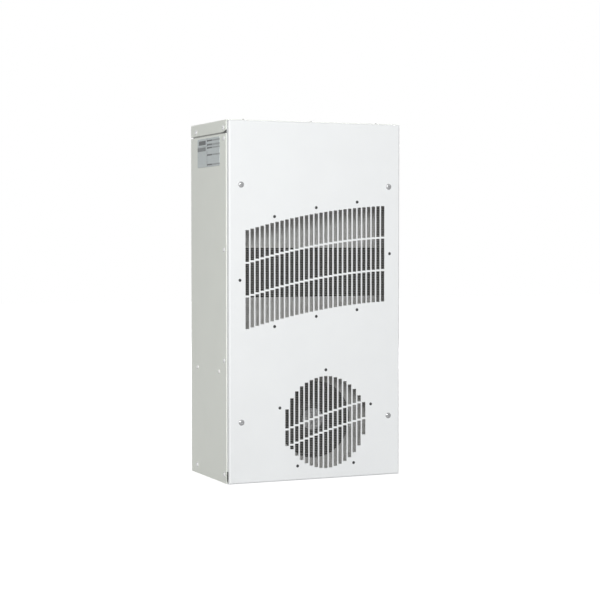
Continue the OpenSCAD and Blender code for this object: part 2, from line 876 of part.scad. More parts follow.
// Divider shelf: carries the core and parts the two openings of the outside air
module divider_shelf() color("silver") {
  near = cover_in + 3 * sheet;
  wide = front_y + return_d + relief_h;
  far = back_in - fit_gap;
  lip = shelf_top + flange_w;
  difference() {
    union() {
      lay_xy(shelf_z, sheet) {
        soft_rect([-cover_half, wide], [cover_half, far], bend_r, [[0, 1], [1, 1]]);
        rect([-inner_half, near], [inner_half, wide + sheet]);
      }
      block([-inner_half, near, shelf_z], [inner_half, near + sheet, lip]);
      for (side = [-1, 1]) {
        translate([side * (cover_half - sheet / 2), 0, 0])
          block([-sheet / 2, wide, shelf_z - flange_w],
                [sheet / 2, far - flange_w, shelf_z + sheet / 2]);
      }
    }
    core_opening(shelf_z);
    lead_hole(shelf_z);
    for (side = [-1, 1]) {
      at_shelf_screws(side) small_hole(4 * side_screw_l);
    }
  }
}
module core_opening(z) {
  block([-window_half, core_front + foam_w, z - overrun],
        [window_half, core_back - foam_w, z + sheet + overrun]);
}
module lead_hole(z) {
  translate([lead_side_x, lead_side_y, z + sheet / 2])
    cylinder(h = 3 * sheet, r = grommet_r, center = true);
}

// Baffle seal: foam between the shelf's lip and the cover
module baffle_seal() color("dimgray")
  block([-seal_half, cover_in + touch_gap, shelf_top + sheet],
        [seal_half, cover_in + 3 * sheet, shelf_top + flange_w - sheet]);

// Core bulkhead: the pale plates behind the upper grille. A lower sheet, an upper sheet and two
// side strips between them stand edge to edge around the core's window
module bulkhead_fold(side, low, high, width) {
  translate([side * (inner_half - width / 2), 0, 0])
    block([-width / 2, deck_y, low], [width / 2, deck_back, high]);
  translate([side * (inner_half - sheet / 2), 0, 0])
    block([-sheet / 2, deck_y, low], [sheet / 2, deck_back + flange_w, high]);
}
module core_bulkhead() color("silver") difference() {
  high = body_h - sheet - fit_gap;
  union() {
    block([-inner_half, deck_y, shelf_top], [inner_half, deck_back, window_low]);
    block([-inner_half, deck_y - flange_w, shelf_top], [inner_half, deck_back, shelf_top + sheet]);
    block([-inner_half, deck_y, window_high], [inner_half, deck_back, high]);
    block([-inner_half, deck_y, high - sheet], [inner_half, deck_back + flange_w, high]);
    for (side = [-1, 1]) {
      bulkhead_fold(side, shelf_top, window_low, 2 * sheet);
      bulkhead_fold(side, window_low + touch_gap, window_high - touch_gap,
                    inner_half - window_half);
      bulkhead_fold(side, window_high, high, 2 * sheet);
    }
  }
  at_cover_screws() translate([0, deck_d, 0]) facing_front() small_hole(4 * sheet);
}

// Upper shelf: closes the space around the core's top
module upper_shelf() color("silver") {
  far = back_in - fit_gap;
  top = upper_shelf_z + sheet;
  difference() {
    union() {
      block([-shelf_half, deck_back, upper_shelf_z], [shelf_half, far, top]);
      block([-shelf_half, deck_back, upper_shelf_z], [shelf_half, deck_back + sheet, top + flange_w]);
      block([-shelf_half, far - sheet, upper_shelf_z], [shelf_half, far, top + flange_w]);
    }
    core_opening(upper_shelf_z);
    lead_hole(upper_shelf_z);
  }
}

// The core: upright plates, with alternate channels open to each air stream
module core_plates() color("dimgray") for (i = [1:channels - 1]) {
  translate([-channel_half + i * channel_pitch, 0, 0])
    block([-plate_t / 2, core_front + end_t, core_low + end_t],
          [plate_t / 2, core_back - end_t, core_high - end_t]);
}
module core_sides() color("silver") for (side = [-1, 1]) {
  translate([side * (core_half - core_side_t / 2), 0, 0])
    block([-core_side_t / 2, core_front, core_low], [core_side_t / 2, core_back, core_high]);
}
module channel_slots(first, low, high) {
  for (i = [first:2:channels - 1]) {
    x = channel_x(i);
    rect([x - end_slot_w / 2, low], [x + end_slot_w / 2, high]);
  }
}
module core_front_sheet() color("dimgray") stand_xz(core_front, end_t) difference() {
  rect([-channel_half, core_low], [channel_half, core_high]);
  channel_slots(0, window_low + window_margin, window_high - window_margin);
}
module core_back_sheet() color("dimgray") stand_xz(core_back - end_t, end_t) difference() {
  rect([-channel_half, core_low], [channel_half, core_high]);
  channel_slots(1, outlet_low + window_margin, outlet_low + outlet_h - window_margin);
}
module core_end_sheet(z, first) {
  lay_xy(z, end_t) difference() {
    rect([-channel_half, core_front + end_t], [channel_half, core_back - end_t]);
    channel_slots(first, core_front + end_margin, core_back - end_margin);
  }
}
module core_bottom_sheet() color("dimgray") core_end_sheet(core_low, 0);
module core_top_sheet() color("dimgray") core_end_sheet(core_high - end_t, 1);

// Foam gaskets between the core and the plates around it, each cut from four strips
module strip_frame(low, high, w) {
  rect(low, [high[0], low[1] + w]);
  rect([low[0], high[1] - w], high);
  rect([low[0], low[1] + w + touch_gap], [low[0] + w, high[1] - w - touch_gap]);
  rect([high[0] - w, low[1] + w + touch_gap], [high[0], high[1] - w - touch_gap]);
}
module core_ring() {
  strip_frame([-core_half, core_front], [core_half, core_back], foam_w);
}
module core_bottom_gasket() color("dimgray") lay_xy(shelf_top, foam_t) core_ring();
module core_top_gasket() color("dimgray") lay_xy(core_high, foam_t) core_ring();
module core_front_gasket() color("dimgray") stand_xz(deck_back, foam_t)
  strip_frame([-core_half, window_low - foam_w], [core_half, window_high + foam_w], foam_w);

// A fan, drawn with its face on z = 0 and its depth along +z
module fan_square(z, t) {
  translate([0, 0, z]) linear_extrude(t) difference() {
    half = fan_size / 2;
    soft_rect([-half, -half], [half, half], fan_corner_r, all_corners);
    circle(d = fan_bore, $fn = 96);
    for (sx = [-1, 1], sy = [-1, 1]) {
      translate([sx, sy] * fan_hole_pitch / 2) circle(d = small_shank_dia + 2 * hole_gap);
    }
  }
}
module fan_frame() {
  fan_square(0, fan_end_t);
  fan_square(fan_d - fan_end_t, fan_end_t);
  linear_extrude(fan_d) difference() {
    circle(d = fan_bore + 2 * fan_wall, $fn = 96);
    circle(d = fan_bore, $fn = 96);
  }
  for (i = [0:struts - 1]) {
    rotate(45 + i * 360 / struts) translate([fan_base_dia / 2 - fan_wall, -strut_w / 2, fan_base_z])
      cube([fan_r - fan_base_dia / 2 + 2 * fan_wall - touch_gap, strut_w, fan_base_t]);
  }
  translate([0, 0, fan_base_z]) cylinder(h = fan_base_t, d = fan_base_dia);
  translate([0, 0, tube_z]) difference() {
    cylinder(h = fan_base_z - tube_z + fan_base_t / 2, d = bearing_dia + 2 * bearing_wall);
    translate([0, 0, -overrun])
      cylinder(h = fan_base_z - tube_z + overrun, d = bearing_dia + 2 * touch_gap);
  }
}
module fan_stator() {
  difference() {
    union() {
      translate([0, 0, stator_z + (stator_h - stator_core_h) / 2])
        cylinder(h = stator_core_h, d = stator_dia);
      translate([0, 0, stator_z]) cylinder(h = stator_h, d = stator_dia - 2 * winding_inset);
    }
    translate([0, 0, stator_z - overrun])
      cylinder(h = stator_h + 2 * overrun, d = bearing_dia + 2 * bearing_wall + 2 * touch_gap);
  }
}
module fan_bearings() {
  for (z = [bearing_low_z, bearing_high_z]) {
    translate([0, 0, z]) difference() {
      cylinder(h = bearing_h, d = bearing_dia);
      translate([0, 0, -overrun])
        cylinder(h = bearing_h + 2 * overrun, d = shaft_dia + 2 * shaft_gap);
    }
  }
}
module fan_shaft() {
  translate([0, 0, hub_z + hub_wall])
    cylinder(h = fan_base_z - hub_z - hub_wall - touch_gap * 10, d = shaft_dia);
}
module fan_blade() {
  intersection() {
    translate([0, 0, hub_z - hub_wall]) difference() {
      cylinder(h = hub_l + 2 * hub_wall, r = blade_tip_r, $fn = 96);
      translate([0, 0, -overrun])
        cylinder(h = hub_l + 2 * hub_wall + 2 * overrun, r = hub_dia / 2 - blade_root);
    }
    translate([0, 0, blade_z]) rotate([blade_pitch, 0, 0]) intersection() {
      translate([0, 0, -camber_r]) rotate([0, 90, 0]) difference() {
        cylinder(h = fan_r, r = camber_r + blade_t / 2, $fn = 96);
        translate([0, 0, -overrun])
          cylinder(h = fan_r + 2 * overrun, r = camber_r - blade_t / 2, $fn = 96);
      }
      block([0, -blade_chord / 2, -blade_chord / 2], [fan_r, blade_chord / 2, blade_chord / 2]);
    }
  }
}
module fan_impeller() {
  difference() {
    translate([0, 0, hub_z]) cylinder(h = hub_l, d = hub_dia);
    translate([0, 0, hub_z + hub_wall]) cylinder(h = hub_l, d = hub_dia - 2 * hub_wall);
  }
  difference() {
    translate([0, 0, hub_z + hub_wall / 2]) cylinder(h = boss_h + hub_wall / 2, d = boss_dia);
    translate([0, 0, hub_z + hub_wall])
      cylinder(h = boss_h + overrun, d = shaft_dia + 2 * press_gap);
  }
  for (i = [0:blades - 1]) {
    rotate(i * 360 / blades) fan_blade();
  }
}
module fan_disc() {
  translate([0, 0, hub_z - disc_t]) cylinder(h = disc_t, d = disc_dia);
}
module at_fan_holes() {
  for (sx = [-1, 1], sy = [-1, 1]) {
    translate([sx * fan_hole_pitch / 2, sy * fan_hole_pitch / 2, 0]) children();
  }
}
module fan_screws(under_head) {
  at_fan_holes() translate([0, 0, -under_head]) mirror([0, 0, 1]) small_screw(fan_screw_l);
}
module fan_nuts() {
  at_fan_holes() translate([0, 0, fan_end_t]) difference() {
    cylinder(h = nut_h, d = nut_flats * hex_share, $fn = 6);
    translate([0, 0, -overrun])
      cylinder(h = nut_h + 2 * overrun, d = small_shank_dia + 2 * touch_gap);
  }
}

// The outside-air fan hangs behind the fan deck, the enclosure-air fan inside the back wall
module at_outside_fan() {
  translate([round_x, deck_back, round_z]) facing_back() children();
}
module at_inside_fan() {
  translate([inlet_x, back_in, inlet_z]) facing_front() children();
}
module outside_fan_frame() color("dimgray") at_outside_fan() fan_frame();
module outside_fan_stator() color("peru") at_outside_fan() fan_stator();
module outside_fan_bearings() color("silver") at_outside_fan() fan_bearings();
module outside_fan_impeller() color("black") at_outside_fan() fan_impeller();
module outside_fan_shaft() color("silver") at_outside_fan() fan_shaft();
module outside_fan_disc() color("lightgray") at_outside_fan() fan_disc();
module outside_fan_screws() color("silver") at_outside_fan() fan_screws(sheet);
module outside_fan_nuts() color("silver") at_outside_fan() fan_nuts();
module inside_fan_frame() color("dimgray") at_inside_fan() fan_frame();
module inside_fan_stator() color("peru") at_inside_fan() fan_stator();
module inside_fan_bearings() color("silver") at_inside_fan() fan_bearings();
module inside_fan_impeller() color("black") at_inside_fan() fan_impeller();
module inside_fan_shaft() color("silver") at_inside_fan() fan_shaft();
module inside_fan_disc() color("lightgray") at_inside_fan() fan_disc();
module inside_fan_screws() color("silver") at_inside_fan() fan_screws(sheet + guard_wire);
module inside_fan_nuts() color("silver") at_inside_fan() fan_nuts();

// Finger guard: wire rings on crossed wires, held by the fan's screws
module inlet_guard() color("silver") translate([inlet_x, back_y, inlet_z]) facing_back() {
  for (i = [0:guard_rings - 1]) {
    translate([0, 0, guard_wire * 1.5 - guard_weld]) rotate_extrude()
      translate([guard_first_r + i * guard_pitch, 0]) circle(d = guard_wire, $fn = 14);
  }
  for (turn = [45, 135]) {
    rotate(turn) translate([0, 0, guard_wire / 2]) rotate([0, 90, 0])
      cylinder(h = 2 * (guard_reach - guard_eye_dia / 3), d = guard_wire, center = true, $fn = 14);
  }
  at_fan_holes() difference() {
    cylinder(h = guard_wire, d = guard_eye_dia);
    translate([0, 0, -overrun])
      cylinder(h = guard_wire + 2 * overrun, d = small_shank_dia + 2 * hole_gap);
  }
}

// Mounting gasket and threaded inserts
module mounting_gasket() color("dimgray") {
  out = half_w - gasket_inset;
  high = shell_top - gasket_inset;
  stand_xz(back_y, gasket_t) strip_frame([-out, gasket_z], [out, high], gasket_w);
}
module mounting_inserts() color("goldenrod")
  translate([0, back_y, 0]) rotate([90, 0, 0]) at_inserts() difference() {
    union() {
      translate([0, 0, -insert_head_h]) cylinder(h = insert_head_h, d = insert_head_dia);
      translate([0, 0, -insert_head_h / 2])
        cylinder(h = insert_l + insert_head_h / 2, d = insert_barrel_dia);
    }
    translate([0, 0, -overrun - insert_head_h])
      cylinder(h = insert_l + insert_head_h + 2 * overrun, d = insert_bore_dia);
  }

// Terminal tray: a recess in the back wall for the supply wiring
module terminal_tray() color("silver") difference() {
  low = [tray_x - tray_w / 2, tray_floor, tray_low];
  high = [tray_x + tray_w / 2, back_in, tray_low + tray_h];
  side = [tray_t, 0, tray_t];
  rim = [tray_rim, 0, tray_rim];
  union() {
    block(low - side, high + side);
    block([low[0], back_in - tray_t, low[2]] - rim, high + rim);
  }
  block([low[0], tray_floor + tray_t, low[2]], [high[0], back_in + overrun, high[2]]);
  for (x = [lead_x_in, lead_x_out]) {
    translate([x, lead_tray_y, tray_low]) cylinder(h = 4 * tray_t, r = grommet_r, center = true);
  }
  translate([tray_x, tray_floor, stud_z]) facing_back()
    cylinder(h = 4 * tray_t, d = stud_dia - 2 * touch_gap, center = true);
}
module terminal_block() color("ivory") {
  y = tray_floor + tray_t;
  pole = (block_w - block_rib_t) / block_poles;
  difference() {
    union() {
      block([tray_x - block_w / 2, y, block_z - block_h / 2],
            [tray_x + block_w / 2, y + block_base_t, block_z + block_h / 2]);
      for (i = [0:block_poles]) {
        translate([tray_x - block_w / 2 + i * pole, 0, 0])
          block([0, y, block_z - block_h / 2], [block_rib_t, y + block_t, block_z + block_h / 2]);
      }
    }
    at_terminals() facing_back()
      cylinder(h = 2 * terminal_screw_l + touch_gap, d = terminal_shank_dia + 2 * touch_gap,
               center = true);
  }
}
module at_terminals() {
  pole = (block_w - block_rib_t) / block_poles;
  for (i = [0:block_poles - 1], side = [-1, 1]) {
    translate([tray_x - block_w / 2 + block_rib_t / 2 + (i + 0.5) * pole,
               tray_floor + tray_t + block_base_t, block_z + side * block_h / 4]) children();
  }
}
module terminal_screws() color("goldenrod") at_terminals() facing_back()
  screw(terminal_head_dia, terminal_head_h, terminal_shank_dia, terminal_screw_l);
module earth_stud() color("goldenrod") translate([tray_x, tray_floor, stud_z]) facing_back() {
  cylinder(h = stud_l, d = stud_dia - 4 * touch_gap);
  translate([0, 0, tray_t]) cylinder(h = nut_h, d = nut_flats * hex_share, $fn = 6);
}

// A lead is a tube swept along its route, whose corners are rounded off
function unit(v) = v / norm(v);
function along(p, i) = i == 0 ? unit(p[1] - p[0])
  : i == len(p) - 1 ? unit(p[i] - p[i - 1])
  : unit(unit(p[i + 1] - p[i]) + unit(p[i] - p[i - 1]));
function sideways(p, n, i = 0) =
  let (t = along(p, i), m = unit(n - (n * t) * t))
  i == len(p) - 1 ? [m] : concat([m], sideways(p, m, i + 1));
corner_shares = [0, 0.25, 0.5, 0.75, 1];
function corner(a, b, c, r) =
  let (u = b + unit(a - b) * r, v = b + unit(c - b) * r)
  [for (s = corner_shares) (1 - s) * (1 - s) * u + 2 * s * (1 - s) * b + s * s * v];
function rounded_route(p, r) = concat(
  [p[0]],
  [for (i = [1:len(p) - 2]) each corner(p[i - 1], p[i], p[i + 1], r)],
  [p[len(p) - 1]]);
module lead(route) {
  p = rounded_route(route, lead_turn / 2);
  m = sideways(p, [1, 1, 0.3]);
  rings = [for (i = [0:len(p) - 1], k = [0:lead_sides - 1])
    let (t = along(p, i), a = k * 360 / lead_sides)
    p[i] + lead_r * (cos(a) * m[i] + sin(a) * cross(t, m[i]))];
  last = (len(p) - 1) * lead_sides;
  walls = [for (i = [0:len(p) - 2], k = [0:lead_sides - 1], half = [0, 1])
    let (a = i * lead_sides + k, b = i * lead_sides + (k + 1) % lead_sides)
    half == 0 ? [a, a + lead_sides, b] : [b, a + lead_sides, b + lead_sides]];
  caps = [for (k = [1:lead_sides - 2], end = [0, 1])
    end == 0 ? [0, k, k + 1] : [last, last + k + 1, last + k]];
  polyhedron(points = rings, faces = concat(walls, caps));
}
outside_base_y = deck_back + fan_base_z + fan_base_t;
inside_base_y = back_in - fan_base_z - fan_base_t;
outside_route = [
  [lead_x_out, lead_tray_y, block_z - block_h / 2],
  [lead_x_out, lead_tray_y, tray_low - lead_turn],
  [lead_side_x, lead_side_y, tray_low - 2 * lead_turn],
  [lead_side_x, lead_side_y, shelf_z - lead_turn],
  [(round_x + lead_base_out + lead_side_x) / 2, outside_base_y + lead_turn, round_z + lead_turn],
  [round_x + lead_base_out, outside_base_y + lead_turn, round_z],
  [round_x + lead_base_out, outside_base_y, round_z]
];
inside_route = [
  [lead_x_in, lead_tray_y, block_z - block_h / 2],
  [lead_x_in, lead_tray_y, tray_low - lead_turn],
  [tray_x - tray_w / 2, inside_base_y - lead_turn, tray_low - lead_turn],
  [inlet_x + lead_base_out, inside_base_y - lead_turn, inlet_z],
  [inlet_x + lead_base_out, inside_base_y, inlet_z]
];
module outside_fan_lead() color("black") lead(outside_route);
module inside_fan_lead() color("black") lead(inside_route);

// Grommets where the leads pass through sheet, and clips beside the core
module grommet(t) {
  difference() {
    union() {
      cylinder(h = t, r = grommet_r - touch_gap, center = true);
      for (side = [-1, 1]) {
        translate([0, 0, side * (t + grommet_lip_t) / 2])
          cylinder(h = grommet_lip_t, r = grommet_r + grommet_lip, center = true);
      }
    }
    cylinder(h = t + 2 * grommet_lip_t + overrun, r = lead_r + touch_gap, center = true);
  }
}
module lead_grommets() color("black") {
  for (z = [shelf_z, upper_shelf_z]) {
    translate([lead_side_x, lead_side_y, z + sheet / 2]) grommet(sheet);
  }
  for (x = [lead_x_in, lead_x_out]) {
    translate([x, lead_tray_y, tray_low - tray_t / 2]) grommet(tray_t);
  }
}
module lead_clips() color("ivory") for (share = clip_shares) {
  z = shelf_top + (upper_shelf_z - shelf_top) * share;
  reach = lead_r + clip_wall;
  difference() {
    block([lead_side_x - reach, lead_side_y - reach, z - clip_h / 2],
          [wall_in, lead_side_y + reach, z + clip_h / 2]);
    translate([lead_side_x, lead_side_y, z])
      cylinder(h = clip_h + overrun, r = lead_r + touch_gap, center = true);
  }
}

cabinet_shell();
top_cap();
bottom_pan();
front_cover();
cover_screws();
cover_posts();
post_screws();
cap_top_screws();
cap_side_screws();
side_screws();
pan_screws();
shelf_screws();
nameplate();
upper_screen();
upper_clamp();
upper_rivets();
lower_screen();
lower_clamp();
lower_rivets();
fan_deck();
divider_shelf();
baffle_seal();
core_bulkhead();
upper_shelf();
core_plates();
core_sides();
core_front_sheet();
core_back_sheet();
core_top_sheet();
core_bottom_sheet();
core_front_gasket();
core_bottom_gasket();
core_top_gasket();
outside_fan_frame();
outside_fan_stator();
outside_fan_bearings();
outside_fan_impeller();
outside_fan_shaft();
outside_fan_disc();
outside_fan_screws();
outside_fan_nuts();
inside_fan_frame();
inside_fan_stator();
inside_fan_bearings();
inside_fan_impeller();
inside_fan_shaft();
inside_fan_disc();
inside_fan_screws();
inside_fan_nuts();
inlet_guard();
mounting_gasket();
mounting_inserts();
terminal_tray();
terminal_block();
terminal_screws();
earth_stud();
outside_fan_lead();
inside_fan_lead();
lead_grommets();
lead_clips();
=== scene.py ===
import math

import bpy
import numpy as np
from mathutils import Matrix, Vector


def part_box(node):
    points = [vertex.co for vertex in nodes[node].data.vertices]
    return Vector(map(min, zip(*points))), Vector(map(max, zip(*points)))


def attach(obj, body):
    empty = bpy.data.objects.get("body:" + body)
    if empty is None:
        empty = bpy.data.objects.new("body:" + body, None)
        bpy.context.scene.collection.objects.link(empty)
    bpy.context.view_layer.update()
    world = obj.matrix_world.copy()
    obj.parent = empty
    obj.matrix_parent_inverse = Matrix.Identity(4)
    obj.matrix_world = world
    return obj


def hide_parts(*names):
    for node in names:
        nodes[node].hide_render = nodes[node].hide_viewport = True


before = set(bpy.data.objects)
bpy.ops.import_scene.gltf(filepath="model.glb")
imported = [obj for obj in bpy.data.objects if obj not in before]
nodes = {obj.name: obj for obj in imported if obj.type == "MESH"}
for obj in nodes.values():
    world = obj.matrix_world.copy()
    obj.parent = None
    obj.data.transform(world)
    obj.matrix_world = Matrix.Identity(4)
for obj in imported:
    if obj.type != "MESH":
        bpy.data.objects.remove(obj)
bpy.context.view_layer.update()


# Studio: the unit stands on a pale floor in front of white paper.
# The long lens looks at it from the front left, a little above the middle.
camera_data = bpy.data.cameras.new("camera")
camera_data.lens = 95.21
camera_data.sensor_width = 36.0
camera_data.clip_end = 60.0
camera = bpy.data.objects.new("camera", camera_data)
camera.location = (-1.33698, -3.09276, 0.49228)
camera.rotation_euler = (math.radians(90 - 2.127), 0.0, -math.radians(23.564))
bpy.context.scene.collection.objects.link(camera)
bpy.context.scene.camera = camera
bpy.context.scene.view_settings.view_transform = "Standard"


class Signal:
    """A shader output. Sums, products and so on add the Math node they need."""

    def __init__(self, tree, socket):
        self.tree = tree
        self.socket = socket

    def node(self, kind, settings=None, values=None, out=0):
        """Adds a node: its settings first, then what its sockets hold or are linked to."""
        made = self.tree.nodes.new("ShaderNode" + kind)
        for name, value in (settings or {}).items():
            setattr(made, name, value)
        for key, value in (values or {}).items():
            self.feed(made.inputs[key], value)
        return Signal(self.tree, made.outputs[out] if made.outputs else None)

    def feed(self, socket, value):
        """Links a signal to a socket, or sets the socket to a plain value."""
        if isinstance(value, Signal):
            self.tree.links.new(value.socket, socket)
        else:
            socket.default_value = value

    def maths(self, operation, a, b=0.0):
        return self.node("Math", {"operation": operation}, {0: a, 1: b})

    def __add__(self, other):
        return self.maths("ADD", self, other)

    def __radd__(self, other):
        return self.maths("ADD", other, self)

    def __sub__(self, other):
        return self.maths("SUBTRACT", self, other)

    def __rsub__(self, other):
        return self.maths("SUBTRACT", other, self)

    def __mul__(self, other):
        return self.maths("MULTIPLY", self, other)

    def __truediv__(self, other):
        return self.maths("DIVIDE", self, other)

    def __gt__(self, other):
        return self.maths("GREATER_THAN", self, other)

    def __lt__(self, other):
        return self.maths("LESS_THAN", self, other)

    def __abs__(self):
        return self.maths("ABSOLUTE", self)

    def wave(self):
        return self.maths("SINE", self)

    def part(self, axis):
        """One axis of a vector signal: 0, 1 or 2."""
        return self.node("SeparateXYZ", values={0: self}, out=axis)

    def grain(self, scale, detail=2.0, rough=0.5):
        """Noise of about 0.5 on average, whose lumps are 1 / scale across."""
        return self.node(
            "TexNoise",
            values={"Vector": self, "Scale": scale, "Detail": detail, "Roughness": rough},
        )

    def tint(self, low, high):
        """A colour between low, at 0, and high, at 1, each a plain colour or another signal."""
        ends = [c if isinstance(c, Signal) else (*c, 1.0) for c in (low, high)]
        return self.node(
            "Mix", {"data_type": "RGBA"}, {"Factor": self, "A": ends[0], "B": ends[1]}, out=2
        )


def seen_directly(start):
    """1 for what the camera, a reflection or a clear pane shows, and 0 for light's own paths."""
    kinds = ("Is Camera Ray", "Is Glossy Ray", "Is Transmission Ray")
    rays = [start.node("LightPath", out=kind) for kind in kinds]
    return start.maths("MAXIMUM", start.maths("MAXIMUM", rays[0], rays[1]), rays[2])


room = bpy.data.worlds.new("white paper")
bpy.context.scene.world = room
room.use_nodes = True
room.node_tree.nodes.clear()
room_start = Signal(room.node_tree, None)
AMBIENT = 0.10
FULL_WHITE = (1.0, 1.0, 1.0, 1.0)
room_glow = AMBIENT + seen_directly(room_start) * (1 - AMBIENT)
room_light = room_start.node("Background", values={"Color": FULL_WHITE, "Strength": room_glow})
room_start.node("OutputWorld", values={"Surface": room_light})

for lamp_name, place, aim, watts, width in [
    ("key_lamp", (-2.35, -4.5, 2.2), (0.0, 0.0, 0.4), 278.0, 1.65),
    ("rear_lamp", (2.3, 3.0, 2.0), (0.0, 0.0, 0.4), 130.0, 2.2),
]:
    lamp_data = bpy.data.lights.new(lamp_name, "AREA")
    lamp_data.energy = watts
    lamp_data.size = width
    lamp = bpy.data.objects.new(lamp_name, lamp_data)
    lamp.visible_camera = False
    run = np.subtract(aim, place)
    lamp.location = place
    lamp.rotation_euler = (
        math.atan2(math.hypot(run[0], run[1]), -run[2]),
        0.0,
        math.atan2(run[1], run[0]) - math.pi / 2,
    )
    bpy.context.scene.collection.objects.link(lamp)


def bare_mesh(name, points, faces):
    """A mesh object from an array of points and a list of arrays of faces of 3 or 4 corners."""
    points = np.asarray(points, float).reshape(-1, 3)
    faces = [np.asarray(f, np.int64) for f in faces if len(f)]
    used, place = np.unique(np.concatenate([f.ravel() for f in faces]), return_inverse=True)
    points = points[used]
    counts = np.concatenate([np.full(len(f), f.shape[1]) for f in faces])
    mesh = bpy.data.meshes.new(name)
    mesh.vertices.add(len(points))
    mesh.vertices.foreach_set("co", points.astype(np.float32).ravel())
    mesh.loops.add(len(place))
    mesh.loops.foreach_set("vertex_index", place.astype(np.int32))
    mesh.polygons.add(len(counts))
    mesh.polygons.foreach_set("loop_start", (np.cumsum(counts) - counts).astype(np.int32))
    mesh.update(calc_edges=True)
    mesh.validate()
    made = bpy.data.objects.new(name, mesh)
    bpy.context.scene.collection.objects.link(made)
    return made


# The floor: how far it reaches, and how bright it is seen near by and three metres off
FLOOR_HALF, FAR, GLOW_NEAR, GLOW_RISE = 9.0, 3.0, 0.82, 0.1
floor_corners = np.array([(-1, -1, 0), (1, -1, 0), (1, 1, 0), (-1, 1, 0)]) * FLOOR_HALF
floor = bare_mesh("floor", floor_corners, [[[0, 1, 2, 3]]])
floor_paper = bpy.data.materials.new("floor paper")
floor_paper.use_nodes = True
floor_paper.node_tree.nodes.clear()
floor_start = Signal(floor_paper.node_tree, None)
paper_at = floor_start.node("TexCoord", out=3)
paper_fibre = paper_at.grain(40.0, 3.0)
paper_far = paper_at.node("VectorMath", {"operation": "LENGTH"}, {0: paper_at}, out=1) / FAR
paper_grey = paper_fibre.tint((0.46,) * 3, (0.50,) * 3)
paper_matt = floor_start.node("BsdfDiffuse", values={"Color": paper_grey})
paper_pale = floor_start.node("BsdfDiffuse", values={"Color": (0.34, 0.34, 0.34, 1.0)})
paper_glow = GLOW_NEAR + paper_far * GLOW_RISE
paper_lit = floor_start.node("Emission", values={"Color": FULL_WHITE, "Strength": paper_glow})
paper_seen = floor_start.node("AddShader", values={0: paper_pale, 1: paper_lit})
paper = floor_start.node(
    "MixShader", values={0: seen_directly(floor_start), 1: paper_matt, 2: paper_seen}
)
floor_start.node("OutputMaterial", values={"Surface": paper})
floor.data.materials.append(floor_paper)

# Cover, shell and cap: folded steel sheet with a baked powder coat.
# The coat is a pale grey white with the fine dimples of orange peel.


class Finish:
    """One surface finish: a Principled shader and the Object coordinates it is worked out from."""

    def __init__(self, name, color, metal=0.0, rough=0.5, **sockets):
        self.material = bpy.data.materials.new(name)
        self.material.use_nodes = True
        self.material.diffuse_color = (*color, 1.0)
        tree = self.material.node_tree
        tree.nodes.clear()
        start = Signal(tree, None)
        self.at = start.node("TexCoord", out=3)
        self.shader = tree.nodes.new("ShaderNodeBsdfPrincipled")
        self.set("Base Color", (*color, 1.0))
        self.set("Metallic", metal)
        self.set("Roughness", rough)
        for socket, value in sockets.items():
            self.set(socket.replace("_", " "), value)
        start.node("OutputMaterial", values={"Surface": Signal(tree, self.shader.outputs[0])})

    def set(self, socket, value):
        self.at.feed(self.shader.inputs[socket], value)

    def relief(self, height, depth, strength=1.0):
        """Bumps of a depth in metres where the height signal goes from 0 to 1."""
        bumps = {"Height": height, "Distance": depth, "Strength": strength}
        self.set("Normal", self.at.node("Bump", values=bumps))


def dress(finish, *names):
    """Gives CAD nodes a finish in place of the plain one they came with."""
    for name in names:
        nodes[name].data.materials.clear()
        nodes[name].data.materials.append(finish.material)


# The box within the sheets, where no powder reaches
WALL_IN, COVER_IN, BACK_IN, PAN_IN, CAP_IN = 0.1915, -0.10975, 0.1103, 0.002, 0.708
# The height below which the coat is darker in patches
LOW_BAND = 0.012
# The primer's colour inside the box, painted near black as painted shade
SHADED_PRIMER = (0.06, 0.06, 0.058)


def powder_coat(name, color, slit=(0.0, 0.0), behind=-1.0, slit_shade_color=SHADED_PRIMER):
    """Baked powder: dimples 1.2 mm across, cloudy thickness over 60 mm, darker in patches towards
    the floor.
    Only primer covers the inside, painted near black as painted shade. What lies in a slit is
    darkened to the given colour as painted shade for the slit: the heights of the slit are given,
    and how far back it starts."""
    coat = Finish(name, color, rough=0.42, Specular_IOR_Level=0.42)
    peel = coat.at.grain(820.0, 2.0)
    cloud = coat.at.grain(16.0, 2.0)
    side, depth, height = (coat.at.part(axis) for axis in range(3))
    # The coat is darker in patches below that height
    low = height < LOW_BAND
    # Painted shade: what lies in a slit, as far back as given, gets a darker colour
    slit_shade = (height > slit[0]) * (height < slit[1]) * (depth > behind)
    # Painted shade: inside the box the near-black primer stands for the dark there
    within = (abs(side) < WALL_IN) * (depth > COVER_IN) * (depth < BACK_IN)
    within = within * (height > PAN_IN) * (height < CAP_IN)
    dark = tuple(c * 0.975 for c in color)
    bright = tuple(min(1.0, c * 1.02) for c in color)
    skin = (cloud - low * 0.4 * coat.at.grain(90.0)).tint(dark, bright)
    coat.set("Base Color", within.tint(slit_shade.tint(skin, slit_shade_color), SHADED_PRIMER))
    coat.set("Roughness", 0.36 + peel * 0.12)
    coat.relief(peel, 0.00005, 0.5)
    return coat


# Painted shade in the slit under the cap: the cover's flange behind the shell's edge and the
# shell's lap are darkened
cover_coat = powder_coat(
    "cover powder coat", (0.795, 0.81, 0.815), slit=(0.709, 0.7168), behind=-0.0988
)
# Painted shade: the shell and cap have the cover's paint, tinted warmer and greener like the sides
# in shade
shell_coat = powder_coat(
    "shell powder coat", (0.80, 0.825, 0.765), slit=(0.7094, 0.7124), slit_shade_color=(0.29, 0.29, 0.28)
)
dress(cover_coat, "front_cover")
dress(shell_coat, "cabinet_shell", "top_cap")

# Screws and posts: domed cross-recess heads of zinc-plated steel, turned posts behind the cover.
# The ones at the shelf are painted pale, the larger ones are given a darker grey as a painted
# reflection of dark surroundings, and those inside have dulled.


